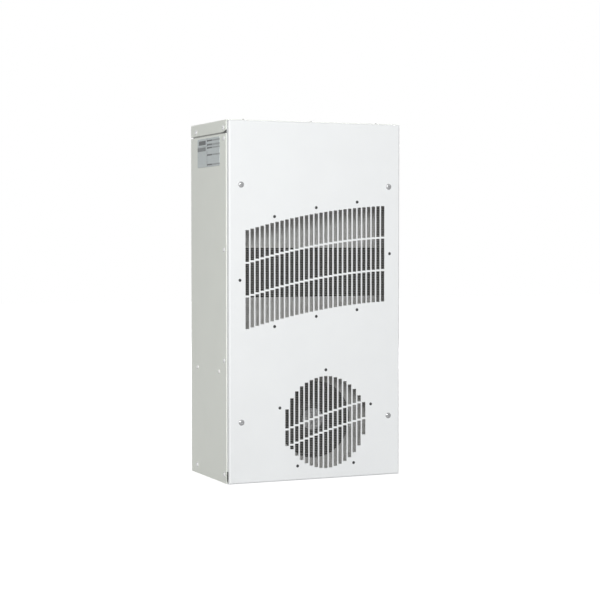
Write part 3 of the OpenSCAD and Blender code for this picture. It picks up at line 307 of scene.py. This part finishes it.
def plated(name, color, rough, metal=1.0):
    """Plated steel: fine turning marks 0.4 mm apart and a cloudy film, bare or under lacquer."""
    zinc = Finish(name, color, metal=metal, rough=rough)
    film = zinc.at.grain(420.0, 3.0)
    dark = tuple(c * 0.82 for c in color)
    zinc.set("Base Color", film.tint(dark, color))
    zinc.set("Roughness", rough - 0.06 + film * 0.16)
    zinc.relief(zinc.at.grain(2600.0, 1.0), 0.00001, 0.4)
    return zinc


bright_zinc = plated("bright zinc", (0.78, 0.785, 0.79), 0.2, metal=0.3)
# Painted reflection: the cover and top screws' zinc is darkened for the dark surroundings it would
# reflect
dark_reflection_zinc = plated("zinc darkened for reflection", (0.40, 0.405, 0.41), 0.2, metal=0.3)
dull_zinc = plated("dull zinc", (0.30, 0.31, 0.32), 0.42)
rivet_steel = plated("rivet steel", (0.035, 0.036, 0.037), 0.45, metal=0.4)
dress(bright_zinc, "cap_side_screws", "side_screws", "pan_screws")
dress(dark_reflection_zinc, "cover_screws", "cap_top_screws")
dress(dull_zinc, "cover_posts", "post_screws")
dress(rivet_steel, "upper_rivets", "lower_rivets")
pale_screw = powder_coat("painted screw", (0.74, 0.74, 0.73))
dress(pale_screw, "shelf_screws")

# Nameplate: a thin anodised plate with a ruled table and no print.
# Its empty fields and rows are stained in different greys, each row darker at its start.
# As shares of its width: where the left column, its fields and the rows' dark starts end.
# As shares of its height: the title's foot, the middles of the rows and half a row's height.
COLUMN, FIELD_END, TAB_END = 0.44, 0.38, 0.66
TITLE_FOOT, ROWS, HALF_ROW = 0.73, (0.91, 0.77, 0.66, 0.41, 0.07), 0.027
plate_low, plate_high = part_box("nameplate")
plate = Finish("anodised plate", (0.40, 0.44, 0.45), metal=0.2, rough=0.38)
across = (plate_high.y - plate.at.part(1)) / (plate_high.y - plate_low.y)
upward = (plate.at.part(2) - plate_low.z) / (plate_high.z - plate_low.z)
brush_marks = {"Vector": plate.at, "Scale": (1.0, 60.0, 2600.0)}
brushed = plate.at.node("Mapping", values=brush_marks).grain(1.0)
right = across > COLUMN
rows = 0.0
for row in ROWS:
    rows = (abs(upward - row) < HALF_ROW) + rows
title = (across > 0.06) * (across < FIELD_END) * (upward > 0.78) * (upward < 0.93)
second = (across < FIELD_END) * (upward > 0.56) * (upward < 0.7)
rules = plate.at.maths("MAXIMUM", abs(across - COLUMN) < 0.014, abs(upward - TITLE_FOOT) < 0.01)
tabs = (across < TAB_END) * 0.35 + 0.4
stain = 0.78 - rows * right * tabs - title * 0.76 - second * 0.58 - rules * 0.3
stain = stain + (brushed - 0.5) * 0.5
plate.set("Base Color", stain.tint((0.06, 0.067, 0.07), (0.60, 0.655, 0.66)))
plate.set("Roughness", 0.3 + brushed * 0.16)
plate.relief(brushed, 0.00001, 0.5)
dress(plate, "nameplate")

# Wire screens: a plain weave of stainless wire 0.6 mm thick, 3.6 mm apart.
# The level wires are painted bright as a painted highlight from above and the upright ones near
# black as painted shade; the rivets hold each screen's rim.


def joined(parts):
    """Several (points, faces) as one, with the faces' numbers moved on."""
    points, faces, start = [], [], 0
    for p, fs in parts:
        p = np.asarray(p, float).reshape(-1, 3)
        points.append(p)
        faces += [np.asarray(f, np.int64) + start for f in fs if len(f)]
        start += len(p)
    return np.concatenate(points), faces


def outward(points, faces):
    """Turns the faces over if the volume they close in comes out below zero."""
    volume = 0.0
    for f in faces:
        for k in range(1, f.shape[1] - 1):
            a, b, c = points[f[:, 0]], points[f[:, k]], points[f[:, k + 1]]
            volume += float(np.einsum("ij,ij->i", a, np.cross(b, c)).sum())
    return faces if volume > 0 else [f[:, ::-1] for f in faces]


def add_piece(name, shape, finish, body, stands_for=(), smooth=True):
    """Makes a finished piece from (points, faces), lets it ride and hides the parts it stands for.
    """
    points, faces = shape
    made = bare_mesh(name, points, faces)
    made.data.materials.append(finish.material)
    made.data.polygons.foreach_set("use_smooth", np.full(len(made.data.polygons), smooth))
    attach(made, body)
    if stands_for:
        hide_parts(*stands_for)
    return made


def wire_rings(middle, side_a, side_b, radius):
    """Four points around each wire centre c: c + r (a cos q + b sin q), q = 45, 135, 225, 315."""
    q = np.radians([45.0, 135.0, 225.0, 315.0])[:, None]
    ring = radius * (np.cos(q) * side_a + np.sin(q) * side_b)
    return middle[..., None, :] + ring


def wire_faces(inside):
    """Walls between neighbouring rings along the second axis, and a cap where a wire ends."""
    rows, columns = inside.shape
    first = 4 * np.arange(rows * columns).reshape(rows, columns)
    both = inside[:, :-1] & inside[:, 1:]
    a, b = first[:, :-1][both], first[:, 1:][both]
    walls = [np.stack([a + k, a + (k + 1) % 4, b + (k + 1) % 4, b + k], 1) for k in range(4)]
    padded = np.pad(inside, ((0, 0), (1, 1)))
    before, after = padded[:, :-2], padded[:, 2:]
    starts = first[inside & ~before & after]
    ends = first[inside & before & ~after]
    caps = [np.stack([starts + 3, starts + 2, starts + 1, starts], 1)]
    caps.append(np.stack([ends, ends + 1, ends + 2, ends + 3], 1))
    return walls + caps


def weave(centre, reach, inside, y, wire, pitch):
    """Plain weave: at crossing (i, k) the level wire is at y + w and the upright one at y - w,
    where w = r (-1)^(i + k), x = k pitch and z = i pitch about the centre."""
    n = np.ceil(np.asarray(reach) / pitch).astype(int)
    x = centre[0] + np.arange(-n[0], n[0] + 1) * pitch
    z = centre[1] + np.arange(-n[1], n[1] + 1) * pitch
    gx, gz = np.meshgrid(x, z)
    keep = inside(gx, gz)
    turn = (-1.0) ** (np.arange(len(z))[:, None] + np.arange(len(x))[None, :])
    ex, ey, ez = np.eye(3)
    level = np.stack([gx, y + turn * wire / 2, gz], -1)
    upright = np.stack([gx, y - turn * wire / 2, gz], -1).transpose(1, 0, 2)
    parts = []
    for middle, mask, side in ((level, keep, (ey, ez)), (upright, keep.T, (ex, ey))):
        points = wire_rings(middle, side[0], side[1], wire / 2)
        parts.append((points, outward(points.reshape(-1, 3), wire_faces(mask))))
    return joined(parts)


WIRE, WIRE_PITCH = 0.0006, 0.0036
stainless = Finish("stainless wire", (0.27, 0.27, 0.26), metal=1.0, rough=0.3)
wire_film = stainless.at.grain(700.0, 2.0)
# Painted light: level wires get a lit tone, the upright wires between them a near-black shade
lit_level_wires = (stainless.at.part(2) * (2 * math.pi / WIRE_PITCH) + math.pi / 2).wave() > 0.4
lit_wire_tone = wire_film.tint((0.34, 0.34, 0.325), (0.47, 0.47, 0.455))
stainless.set("Base Color", lit_level_wires.tint((0.03, 0.03, 0.028), lit_wire_tone))
stainless.set("Roughness", 0.2 + wire_film * 0.2)

# The grilles' outlines, and how far the screens reach beyond them
ARC, APEX, ARC_LOW, UPPER_TALL, UPPER_WIDE = 1.346, 0.22175, -0.77861, 0.2, 0.1566
ROUND_X, ROUND_Z, ROUND_R = 0.02185, 0.1175, 0.096
RIM = 0.0155


def inside_upper(x, z):
    """Between the two arcs of the upper grille, a rim's width further out."""
    top = ARC_LOW + np.sqrt((ARC + RIM) ** 2 - (x - APEX) ** 2)
    low = ARC_LOW - UPPER_TALL + np.sqrt((ARC - RIM) ** 2 - (x - APEX) ** 2)
    return (abs(x) < UPPER_WIDE + RIM) & (z < top) & (z > low)


def inside_round(x, z):
    """Within the round grille's circle, a rim's width further out."""
    return np.hypot(x - ROUND_X, z - ROUND_Z) < ROUND_R + RIM


SCREEN_Y = -0.1089
for screen, middle_x, middle_row, reach, inside in [
    ("upper_screen", 0.0, 122, (0.175, 0.13), inside_upper),
    ("lower_screen", ROUND_X, 33, (0.113, 0.113), inside_round),
]:
    centre = (middle_x, middle_row * WIRE_PITCH)
    net = weave(centre, reach, inside, SCREEN_Y, WIRE, WIRE_PITCH)
    add_piece("woven_" + screen, net, stainless, "cabinet", [screen], smooth=False)

# Clamping frames and the inner plates: galvanised sheet, cut, folded and screwed.
# The zinc shows faint spangle, and cut edges and folds stay as they come.
# The dark grey of the painted shade at a sheet's ends, and the near black beside a window
END_SHADE, WINDOW_BLACK = (0.11, 0.11, 0.11), (0.03, 0.03, 0.03)


def galvanised(name, color, rough, bare=1.0, window=(0.0, 0.0)):
    """Hot-dip zinc: crystals 7 mm across, each with its own grey and gloss. Further than the given
    distance from the unit's middle it is painted dark grey, as painted shade near the side walls,
    and at the heights of a window it is near black, standing for the window, which is wider on the
    unit."""
    sheet = Finish(name, color, metal=0.04, rough=rough, Specular_IOR_Level=0.2)
    crystal = sheet.at.node(
        "TexVoronoi", {"feature": "F1"}, {"Vector": sheet.at, "Scale": 150.0}, out=1
    ).part(0)
    haze = sheet.at.grain(24.0, 3.0)
    zinc = (crystal * 0.6 + haze * 0.4).tint(tuple(c * 0.8 for c in color), color)
    # Painted shade: beyond the given distance from the middle the sheet turns dark grey
    ends = (abs(sheet.at.part(0)) > bare).tint(zinc, END_SHADE)
    height = sheet.at.part(2)
    beside = (height > window[0]) * (height < window[1])
    sheet.set("Base Color", beside.tint(ends, WINDOW_BLACK))
    sheet.set("Roughness", rough - 0.08 + crystal * 0.14)
    sheet.relief(sheet.at.grain(500.0, 2.0), 0.00002, 0.4)
    return sheet


# The bulkhead's ends are painted dark grey as painted shade near the side walls, and its strips
# beside the window are near black, standing for the window, which is wider on the unit.
SHEET_ZINC = (0.67, 0.675, 0.66)
zinc_sheet = galvanised("galvanised sheet", SHEET_ZINC, 0.5)
bulkhead_sheet = galvanised(
    "bulkhead sheet", SHEET_ZINC, 0.5, bare=0.1615, window=(0.37603, 0.47797)
)
dress(
    zinc_sheet, "fan_deck", "divider_shelf", "upper_shelf", "bottom_pan", "terminal_tray",
    "upper_clamp", "lower_clamp",
)
dress(bulkhead_sheet, "core_bulkhead")

# Heat-exchange core: thin aluminium plates between slotted end sheets, all given a near-black
# colour.
# The plates carry rows of pressed dimples that hold them apart.
core_metal = Finish("near-black core", (0.012, 0.012, 0.013), rough=0.5, Specular_IOR_Level=0.25)
dimple = core_metal.at.node(
    "TexVoronoi", {"feature": "SMOOTH_F1"},
    {"Vector": core_metal.at, "Scale": 90.0, "Smoothness": 0.4, "Randomness": 0.0},
)
core_cloud = core_metal.at.grain(30.0, 3.0)
core_metal.set("Base Color", core_cloud.tint((0.007, 0.007, 0.008), (0.02, 0.02, 0.021)))
core_metal.set("Roughness", 0.4 + core_cloud * 0.2)
core_metal.relief(dimple, 0.0008, 0.5)
dress(core_metal, "core_plates", "core_sides", "core_front_sheet", "core_back_sheet",
      "core_top_sheet", "core_bottom_sheet")

# Foam: cut strips of closed-cell foam, glued on, pressed between the sheets.
# Their long edges bulge a little where the sheets squeeze them.


def rounded_section(wide, tall, round_off, per_corner=4):
    """Points around a rectangle with quarter circles of the given radius at its corners."""
    q = np.radians(np.linspace(0, 90, per_corner))
    spots = [(1, 1, 0), (-1, 1, 90), (-1, -1, 180), (1, -1, 270)]
    rings = [
        np.stack([
            sx * (wide / 2 - round_off) + round_off * np.cos(q + math.radians(start)),
            sy * (tall / 2 - round_off) + round_off * np.sin(q + math.radians(start)),
        ], 1)
        for sx, sy, start in spots
    ]
    return np.concatenate(rings)


def loft(rings, closed=False):
    """A skin over rings of points, shape (rings, around, 3): the last ring joins the first, or
    both ends are capped with a fan about their middle."""
    rings = np.asarray(rings, float)
    count, around = rings.shape[:2]
    first = (np.arange(count) * around)[:, None]
    k = np.arange(around)[None, :]
    here, there = first + k, first + (k + 1) % around
    onward = np.roll(here, -1, 0), np.roll(there, -1, 0)
    walls = np.stack([here, there, onward[1], onward[0]], -1)
    walls = walls if closed else walls[:-1]
    points = rings.reshape(-1, 3)
    faces = [walls.reshape(-1, 4)]
    if not closed:
        middles = rings[[0, -1]].mean(1)
        points = np.concatenate([points, middles])
        a, b = here[0], there[0]
        faces.append(np.stack([b, a, np.full(around, len(points) - 2)], 1))
        a, b = here[-1], there[-1]
        faces.append(np.stack([a, b, np.full(around, len(points) - 1)], 1))
    return points, outward(points, faces)


def cut_strip(low, high):
    """A straight strip that fills a box: its rounded section, carried along the longest side."""
    low, high = np.array(low, float), np.array(high, float)
    size, middle = high - low, (low + high) / 2
    along = int(size.argmax())
    wide, tall = [axis for axis in range(3) if axis != along]
    section = rounded_section(size[wide], size[tall], min(0.0012, size.min() / 3))
    rings = np.empty((16, len(section), 3))
    rings[..., along] = np.linspace(low[along], high[along], 16)[:, None]
    rings[..., wide] = middle[wide] + section[:, 0]
    rings[..., tall] = middle[tall] + section[:, 1]
    return loft(rings)


def four_strips(low, high, width, up):
    """A frame of four strips: two long ones, and two between them that run along the axis up."""
    parts = []
    for end in (0, 1):
        a, b = np.array(low, float), np.array(high, float)
        a[up], b[up] = (a[up], a[up] + width) if end == 0 else (b[up] - width, b[up])
        parts.append(cut_strip(a, b))
        a, b = np.array(low, float), np.array(high, float)
        a[0], b[0] = (a[0], a[0] + width) if end == 0 else (b[0] - width, b[0])
        a[up], b[up] = a[up] + width + 0.0001, b[up] - width - 0.0001
        parts.append(cut_strip(a, b))
    return joined(parts)


def foam(name, color):
    """Closed cells 0.8 mm across in a matt grey, a little darker in their hollows as painted
    shade.
    """
    soft = Finish(name, color, rough=0.95, Specular_IOR_Level=0.2)
    cell = soft.at.node("TexVoronoi", {"feature": "F1"}, {"Vector": soft.at, "Scale": 1250.0})
    patch = soft.at.grain(60.0, 2.0)
    # Painted shade: the cells' hollows are darker
    soft.set("Base Color", (cell * 0.7 + patch * 0.4).tint(tuple(c * 0.5 for c in color), color))
    soft.relief(cell, 0.0003, 0.7)
    return soft


grey_foam = foam("grey foam", (0.075, 0.078, 0.08))
black_foam = foam("black foam", (0.035, 0.036, 0.037))

add_piece("foam_baffle_seal", cut_strip(*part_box("baffle_seal")), grey_foam, "cabinet",
          ["baffle_seal"])
for gasket, width, up, kind, slot in [
    ("core_front_gasket", 0.008, 2, grey_foam, "foam"),
    ("core_bottom_gasket", 0.008, 1, grey_foam, "foam"),
    ("core_top_gasket", 0.008, 1, grey_foam, "foam"),
    ("mounting_gasket", 0.010, 2, black_foam, "gasket"),
]:
    gasket_low, gasket_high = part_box(gasket)
    add_piece("soft_" + gasket, four_strips(gasket_low, gasket_high, width, up), kind,
              "cabinet", [gasket])

# Fans: two alike, each with a cast frame, a wound motor on four struts and a moulded impeller.
# The outside fan hangs behind its deck and the inside fan on the back wall.
casting = Finish("cast frame", (0.028, 0.029, 0.031), rough=0.5, Specular_IOR_Level=0.4)
cast_grain = casting.at.grain(900.0, 3.0)
cast_cloud = casting.at.grain(40.0, 2.0)
casting.set("Base Color", cast_cloud.tint((0.018, 0.019, 0.02), (0.045, 0.046, 0.05)))
casting.set("Roughness", 0.42 + cast_grain * 0.2)
casting.relief(cast_grain, 0.00012, 0.6)
dress(casting, "outside_fan_frame", "inside_fan_frame")

bearing_steel = plated("bearing steel", (0.62, 0.62, 0.63), 0.24)
dress(bearing_steel, "outside_fan_bearings", "inside_fan_bearings",
      "outside_fan_shaft", "inside_fan_shaft")
dress(bright_zinc, "outside_fan_screws", "inside_fan_screws",
      "outside_fan_nuts", "inside_fan_nuts")

hub_foil = plated("bare hub disc", (0.56, 0.565, 0.57), 0.3)
scuff = hub_foil.at.grain(230.0, 2.0, 0.6)
hub_foil.set("Base Color", ((scuff - 0.36) * 3.2).tint((0.20, 0.20, 0.205), (0.60, 0.605, 0.61)))
dress(hub_foil, "outside_fan_disc", "inside_fan_disc")

# Where the two fans stand: the outside fan behind the round grille, the other at the inlet
OUTSIDE_FAN_Y, INSIDE_FAN_Y, INLET_X, INLET_Z = -0.0525, 0.1095, -0.016, 0.606


def outside_fan(local):
    """From the fan's own axes, z along its shaft, to the unit: (x, y, z) to (x, z, -y)."""
    x, y, z = local[..., 0], local[..., 1], local[..., 2]
    return np.stack([ROUND_X + x, OUTSIDE_FAN_Y + z, ROUND_Z - y], -1)


def inside_fan(local):
    """From the fan's own axes, z along its shaft, to the unit: (x, y, z) to (x, -z, y)."""
    x, y, z = local[..., 0], local[..., 1], local[..., 2]
    return np.stack([INLET_X + x, INSIDE_FAN_Y - z, INLET_Z + y], -1)


def turned(profile, sides=72):
    """A closed profile of (radius, height) carried around the shaft."""
    q = np.linspace(0, 2 * np.pi, sides, endpoint=False)[:, None]
    r, z = profile[None, :, 0], profile[None, :, 1]
    rings = np.stack([r * np.cos(q), r * np.sin(q), z + 0 * q], -1)
    return loft(rings, closed=True)


# The impeller: shaft hole, boss, cup and blades
HOLE_R, BOSS_R, CUP_IN_R, CUP_R, CUP_ROUND = 0.0032, 0.0065, 0.0345, 0.037, 0.003
CUP_FRONT, CUP_WALL_END, BOSS_END, CUP_END = 0.010, 0.0125, 0.0165, 0.042
BLADE_ROOT, BLADE_TIP, BLADE_MIDDLE, BLADES = 0.0362, 0.0785, 0.026, 5


def blade_rings(turn):
    """Sections from root to tip at radius s: along the chord t = cos(u) / 2, with thickness
    sin(u), camber 1 - 4 t t, and a pitch that falls from 50 to 30 degrees towards the tip."""
    s = np.linspace(BLADE_ROOT, BLADE_TIP, 12)[:, None]
    u = np.linspace(0, 2 * np.pi, 28, endpoint=False)[None, :]
    share = (s - s[0]) / (s[-1] - s[0])
    pitch = np.radians(50 - 20 * share)
    chord = 0.040 + 0.014 * share - 0.012 * np.clip(share - 0.85, 0, 1) ** 2 * 40
    t = np.cos(u) / 2
    lift = 0.1 * chord * (1 - 4 * t * t) + 0.0011 * np.sin(u) * (1.1 + np.cos(u) * 0.5)
    along = chord * t
    tangent = along * np.cos(pitch) - lift * np.sin(pitch)
    height = BLADE_MIDDLE + along * np.sin(pitch) + lift * np.cos(pitch)
    angle = tangent / s + turn
    return np.stack([s * np.cos(angle), s * np.sin(angle), height], -1)


def impeller():
    """Hub cup, open at the back with its front edge rounded, and five twisted blades."""
    q = np.radians(np.linspace(90, 0, 7))
    edge_r = CUP_R - CUP_ROUND + CUP_ROUND * np.cos(q)
    edge_z = CUP_FRONT + CUP_ROUND - CUP_ROUND * np.sin(q)
    cup = np.concatenate([
        [(HOLE_R, CUP_FRONT)], np.stack([edge_r, edge_z], 1),
        [(CUP_R, CUP_END), (CUP_IN_R, CUP_END), (CUP_IN_R, CUP_WALL_END)],
        [(BOSS_R, CUP_WALL_END), (BOSS_R, BOSS_END), (HOLE_R, BOSS_END)],
    ])
    blades = [loft(blade_rings(k * 2 * np.pi / BLADES)) for k in range(BLADES)]
    return [turned(cup)] + blades


blade_plastic = Finish(
    "moulded impeller", (0.022, 0.022, 0.024), rough=0.46, Specular_IOR_Level=0.45
)
flow_mark = blade_plastic.at.grain(70.0, 4.0)
blade_plastic.set("Base Color", flow_mark.tint((0.014, 0.014, 0.015), (0.034, 0.034, 0.037)))
blade_plastic.set("Roughness", 0.38 + flow_mark * 0.2)
blade_plastic.relief(blade_plastic.at.grain(1600.0, 2.0), 0.00004, 0.6)


# The stator: its teeth, the ends of its stack of laminations, and the coils' tubes and loops
TEETH, YOKE_R, TOOTH_L, STATOR_BORE = 12, 0.0215, 0.0092, 0.0101
STACK_LOW, STACK_HIGH = 0.0215, 0.0355
COIL_TUBE, COIL_MIDDLE, COIL_SIDE, COIL_HALF = 0.0021, 0.0255, 0.0034, 0.0084


def wound_stator():
    """Laminated core with twelve teeth: radius r + a t, where t = 6 cos(12 q) + 2.2 is cut off
    below 0 and above 1, which squares the teeth."""
    q = np.linspace(0, 2 * np.pi, 288, endpoint=False)
    tooth = np.clip(np.cos(TEETH * q) * 6 + 2.2, 0, 1)
    outer = YOKE_R + TOOTH_L * tooth
    inner = np.full_like(q, STATOR_BORE)
    profile = [(outer, STACK_LOW), (outer, STACK_HIGH), (inner, STACK_HIGH), (inner, STACK_LOW)]
    rings = np.stack([
        np.stack([r * np.cos(q), r * np.sin(q), np.full_like(q, h)], -1) for r, h in profile
    ], 1)
    return loft(rings, closed=True)


def stator_coils():
    """Twelve loops around the teeth, each a tube of 2.1 mm radius around the rounded square
    (a c, b s), where c and s are cos(p) and sin(p) raised to 0.6 with their signs kept."""
    p = np.linspace(0, 2 * np.pi, 24, endpoint=False)[:, None]
    v = np.linspace(0, 2 * np.pi, 10, endpoint=False)[None, :]
    path = [np.sign(w) * np.abs(w) ** 0.6 for w in (np.cos(p), np.sin(p))]
    middle = (STACK_LOW + STACK_HIGH) / 2
    parts = []
    for k in range(TEETH):
        side = path[0] * (COIL_SIDE + COIL_TUBE * np.cos(v))
        height = middle + path[1] * (COIL_HALF + COIL_TUBE * np.cos(v))
        radius = COIL_MIDDLE + COIL_TUBE * 1.3 * np.sin(v)
        a = k * 2 * np.pi / TEETH
        out = np.array([math.cos(a), math.sin(a)])
        over = np.array([-math.sin(a), math.cos(a)])
        flat = radius[..., None] * out + side[..., None] * over
        parts.append(loft(np.concatenate([flat, (height + 0 * v)[..., None]], -1), closed=True))
    return joined(parts)


laminate = Finish("stator laminations", (0.30, 0.31, 0.33), metal=0.8, rough=0.4)
layers = (laminate.at.part(1) * 9000.0).wave()
laminate.set("Base Color", (layers * 0.5 + 0.5).tint((0.14, 0.145, 0.15), (0.36, 0.37, 0.39)))
laminate.relief(layers, 0.00004, 0.5)
copper = Finish("enamelled copper", (0.50, 0.17, 0.07), metal=0.85, rough=0.3)
strand = copper.at.node("TexVoronoi", {"feature": "F1"}, {"Vector": copper.at, "Scale": 1500.0})
copper.set("Base Color", strand.tint((0.60, 0.22, 0.09), (0.22, 0.07, 0.03)))
copper.relief(strand, 0.0003, 0.6)

for fan, at_fan, rotor in (
    ("outside_fan", outside_fan, "outside_rotor"), ("inside_fan", inside_fan, "inside_rotor"),
):
    points, faces = joined(impeller())
    points = at_fan(points)
    add_piece(fan + "_moulded_impeller", (points, faces), blade_plastic, rotor,
              [fan + "_impeller"])
    core = wound_stator()
    add_piece(fan + "_laminations", (at_fan(core[0]), core[1]), laminate, "cabinet",
              [fan + "_stator"], smooth=False)
    coils = stator_coils()
    add_piece(fan + "_coils", (at_fan(coils[0]), coils[1]), copper, "cabinet",
              [fan + "_stator"])

# Finger guard, inserts and the terminal tray's fittings on the back wall.
# The guard is welded from chromed wire, the inserts are yellow-passivated steel.
chrome = plated("chromed wire", (0.80, 0.81, 0.82), 0.16)
yellow_zinc = plated("yellow zinc", (0.72, 0.58, 0.30), 0.32)
dress(chrome, "inlet_guard")
dress(yellow_zinc, "mounting_inserts", "terminal_screws", "earth_stud")


def moulded(name, color, rough):
    """Moulded plastic with an etched skin, its dimples 0.4 mm across."""
    plastic = Finish(name, color, rough=rough)
    skin = plastic.at.grain(2400.0, 2.0)
    plastic.set("Base Color", plastic.at.grain(80.0).tint(tuple(c * 0.9 for c in color), color))
    plastic.set("Roughness", rough - 0.06 + skin * 0.12)
    plastic.relief(skin, 0.00003, 0.5)
    return plastic


block_plastic = moulded("terminal plastic", (0.50, 0.47, 0.40), 0.45)
clip_plastic = moulded("natural nylon", (0.66, 0.62, 0.52), 0.4)
rubber = moulded("black rubber", (0.02, 0.02, 0.021), 0.75)
dress(block_plastic, "terminal_block")
dress(clip_plastic, "lead_clips")
dress(rubber, "lead_grommets")

# Internal leads: round sheathed cable from the tray to each fan, clipped beside the core.
# The sheath is stripped back in the tray, and its three cores end under the lower screws.


def rounded_route(corners, turn, steps=9):
    """The route with each corner b replaced by the curve (1-s)(1-s) u + 2 s (1-s) b + s s v,
    where u and v are a turn's length before and after it."""
    p = np.asarray(corners, float)
    s = np.linspace(0, 1, steps)[:, None]
    track = [p[:1]]
    for a, b, c in zip(p[:-2], p[1:-1], p[2:]):
        u = b + (a - b) / np.linalg.norm(a - b) * turn
        v = b + (c - b) / np.linalg.norm(c - b) * turn
        track.append((1 - s) ** 2 * u + 2 * s * (1 - s) * b + s * s * v)
    return np.concatenate(track + [p[-1:]])


def tube(track, radius, sides=14):
    """Rings of the radius around a track, square to the mean of the runs before and after, each
    turned as little as possible from the last."""
    run = np.diff(track, axis=0)
    run /= np.linalg.norm(run, axis=1)[:, None]
    ahead = np.concatenate([run[:1], run[:-1] + run[1:], run[-1:]])
    ahead /= np.linalg.norm(ahead, axis=1)[:, None]
    side = np.cross(ahead[0], (0.3, 1.0, 0.2))
    sides_a = []
    for t in ahead:
        side = side - t * side.dot(t)
        side = side / np.linalg.norm(side)
        sides_a.append(side)
    a = np.array(sides_a)[:, None, :]
    b = np.cross(ahead, np.array(sides_a))[:, None, :]
    q = np.linspace(0, 2 * np.pi, sides, endpoint=False)[None, :, None]
    return loft(track[:, None, :] + radius * (np.cos(q) * a + np.sin(q) * b))


sheath = Finish("cable sheath", (0.018, 0.018, 0.019), rough=0.5)
sheath_mark = sheath.at.grain(180.0, 3.0)
sheath.set("Base Color", sheath_mark.tint((0.011, 0.011, 0.012), (0.028, 0.028, 0.03)))
sheath.set("Roughness", 0.42 + sheath_mark * 0.2)

# The leads: their radius and bends, where they enter the tray, and their cores' radius there
LEAD_R, LEAD_BEND, CORE_R = 0.003, 0.015, 0.0009
LEAD_Y, OUTSIDE_LEAD_X, INSIDE_LEAD_X = 0.0783, 0.131, 0.107
# The plane in which the cores rise below the terminal screws
UNDER_SCREWS = 0.0837

outside_route = [
    (OUTSIDE_LEAD_X, LEAD_Y, 0.596), (OUTSIDE_LEAD_X, LEAD_Y, 0.536), (0.17925, 0.054, 0.506),
    (0.17925, 0.054, 0.2005), (0.11055, 0.0265, 0.1475), (0.04185, 0.0265, 0.1175),
    (0.04185, -0.0035, 0.1175),
]
inside_route = [
    (INSIDE_LEAD_X, LEAD_Y, 0.596), (INSIDE_LEAD_X, LEAD_Y, 0.536), (0.084, 0.0305, 0.536),
    (0.004, 0.0305, 0.606), (0.004, 0.0605, 0.606),
]
for lead, route in (("outside_fan_lead", outside_route), ("inside_fan_lead", inside_route)):
    add_piece("sheathed_" + lead, tube(rounded_route(route, LEAD_BEND), LEAD_R), sheath,
              "cabinet", [lead])


def core_route(start_x, turn, screw_x, reach):
    """From inside the stripped end, a little off its middle, across to below a screw and up to
    its rim; reach is how far back the core swings on its way."""
    x = start_x + 0.0011 * math.cos(turn)
    y = LEAD_Y + 0.0011 * math.sin(turn)
    return rounded_route([
        (x, y, 0.588), (x, y, 0.5985), (screw_x, reach, 0.604),
        (screw_x, UNDER_SCREWS, 0.6068), (screw_x, UNDER_SCREWS, 0.6089),
    ], 0.001, 5)


for core_name, turn, pole_x, color in [
    ("live_cores", 90.0, 0.103, (0.16, 0.055, 0.02)),
    ("neutral_cores", 210.0, 0.119, (0.02, 0.09, 0.36)),
    ("earth_cores", 330.0, 0.135, (0.12, 0.30, 0.03)),
]:
    insulation = moulded(core_name.replace("_", " "), color, 0.4)
    if core_name == "earth_cores":
        band = (insulation.at.part(2) * 1500.0 + insulation.at.part(0) * 900.0).wave() > 0.3
        insulation.set("Base Color", band.tint(color, (0.62, 0.50, 0.03)))
    turn = math.radians(turn)
    pair = [
        tube(core_route(OUTSIDE_LEAD_X, turn, pole_x + 2 * CORE_R, 0.090), CORE_R, 8),
        tube(core_route(INSIDE_LEAD_X, turn, pole_x - 2 * CORE_R, UNDER_SCREWS), CORE_R, 8),
    ]
    add_piece(core_name, joined(pair), insulation, "cabinet")
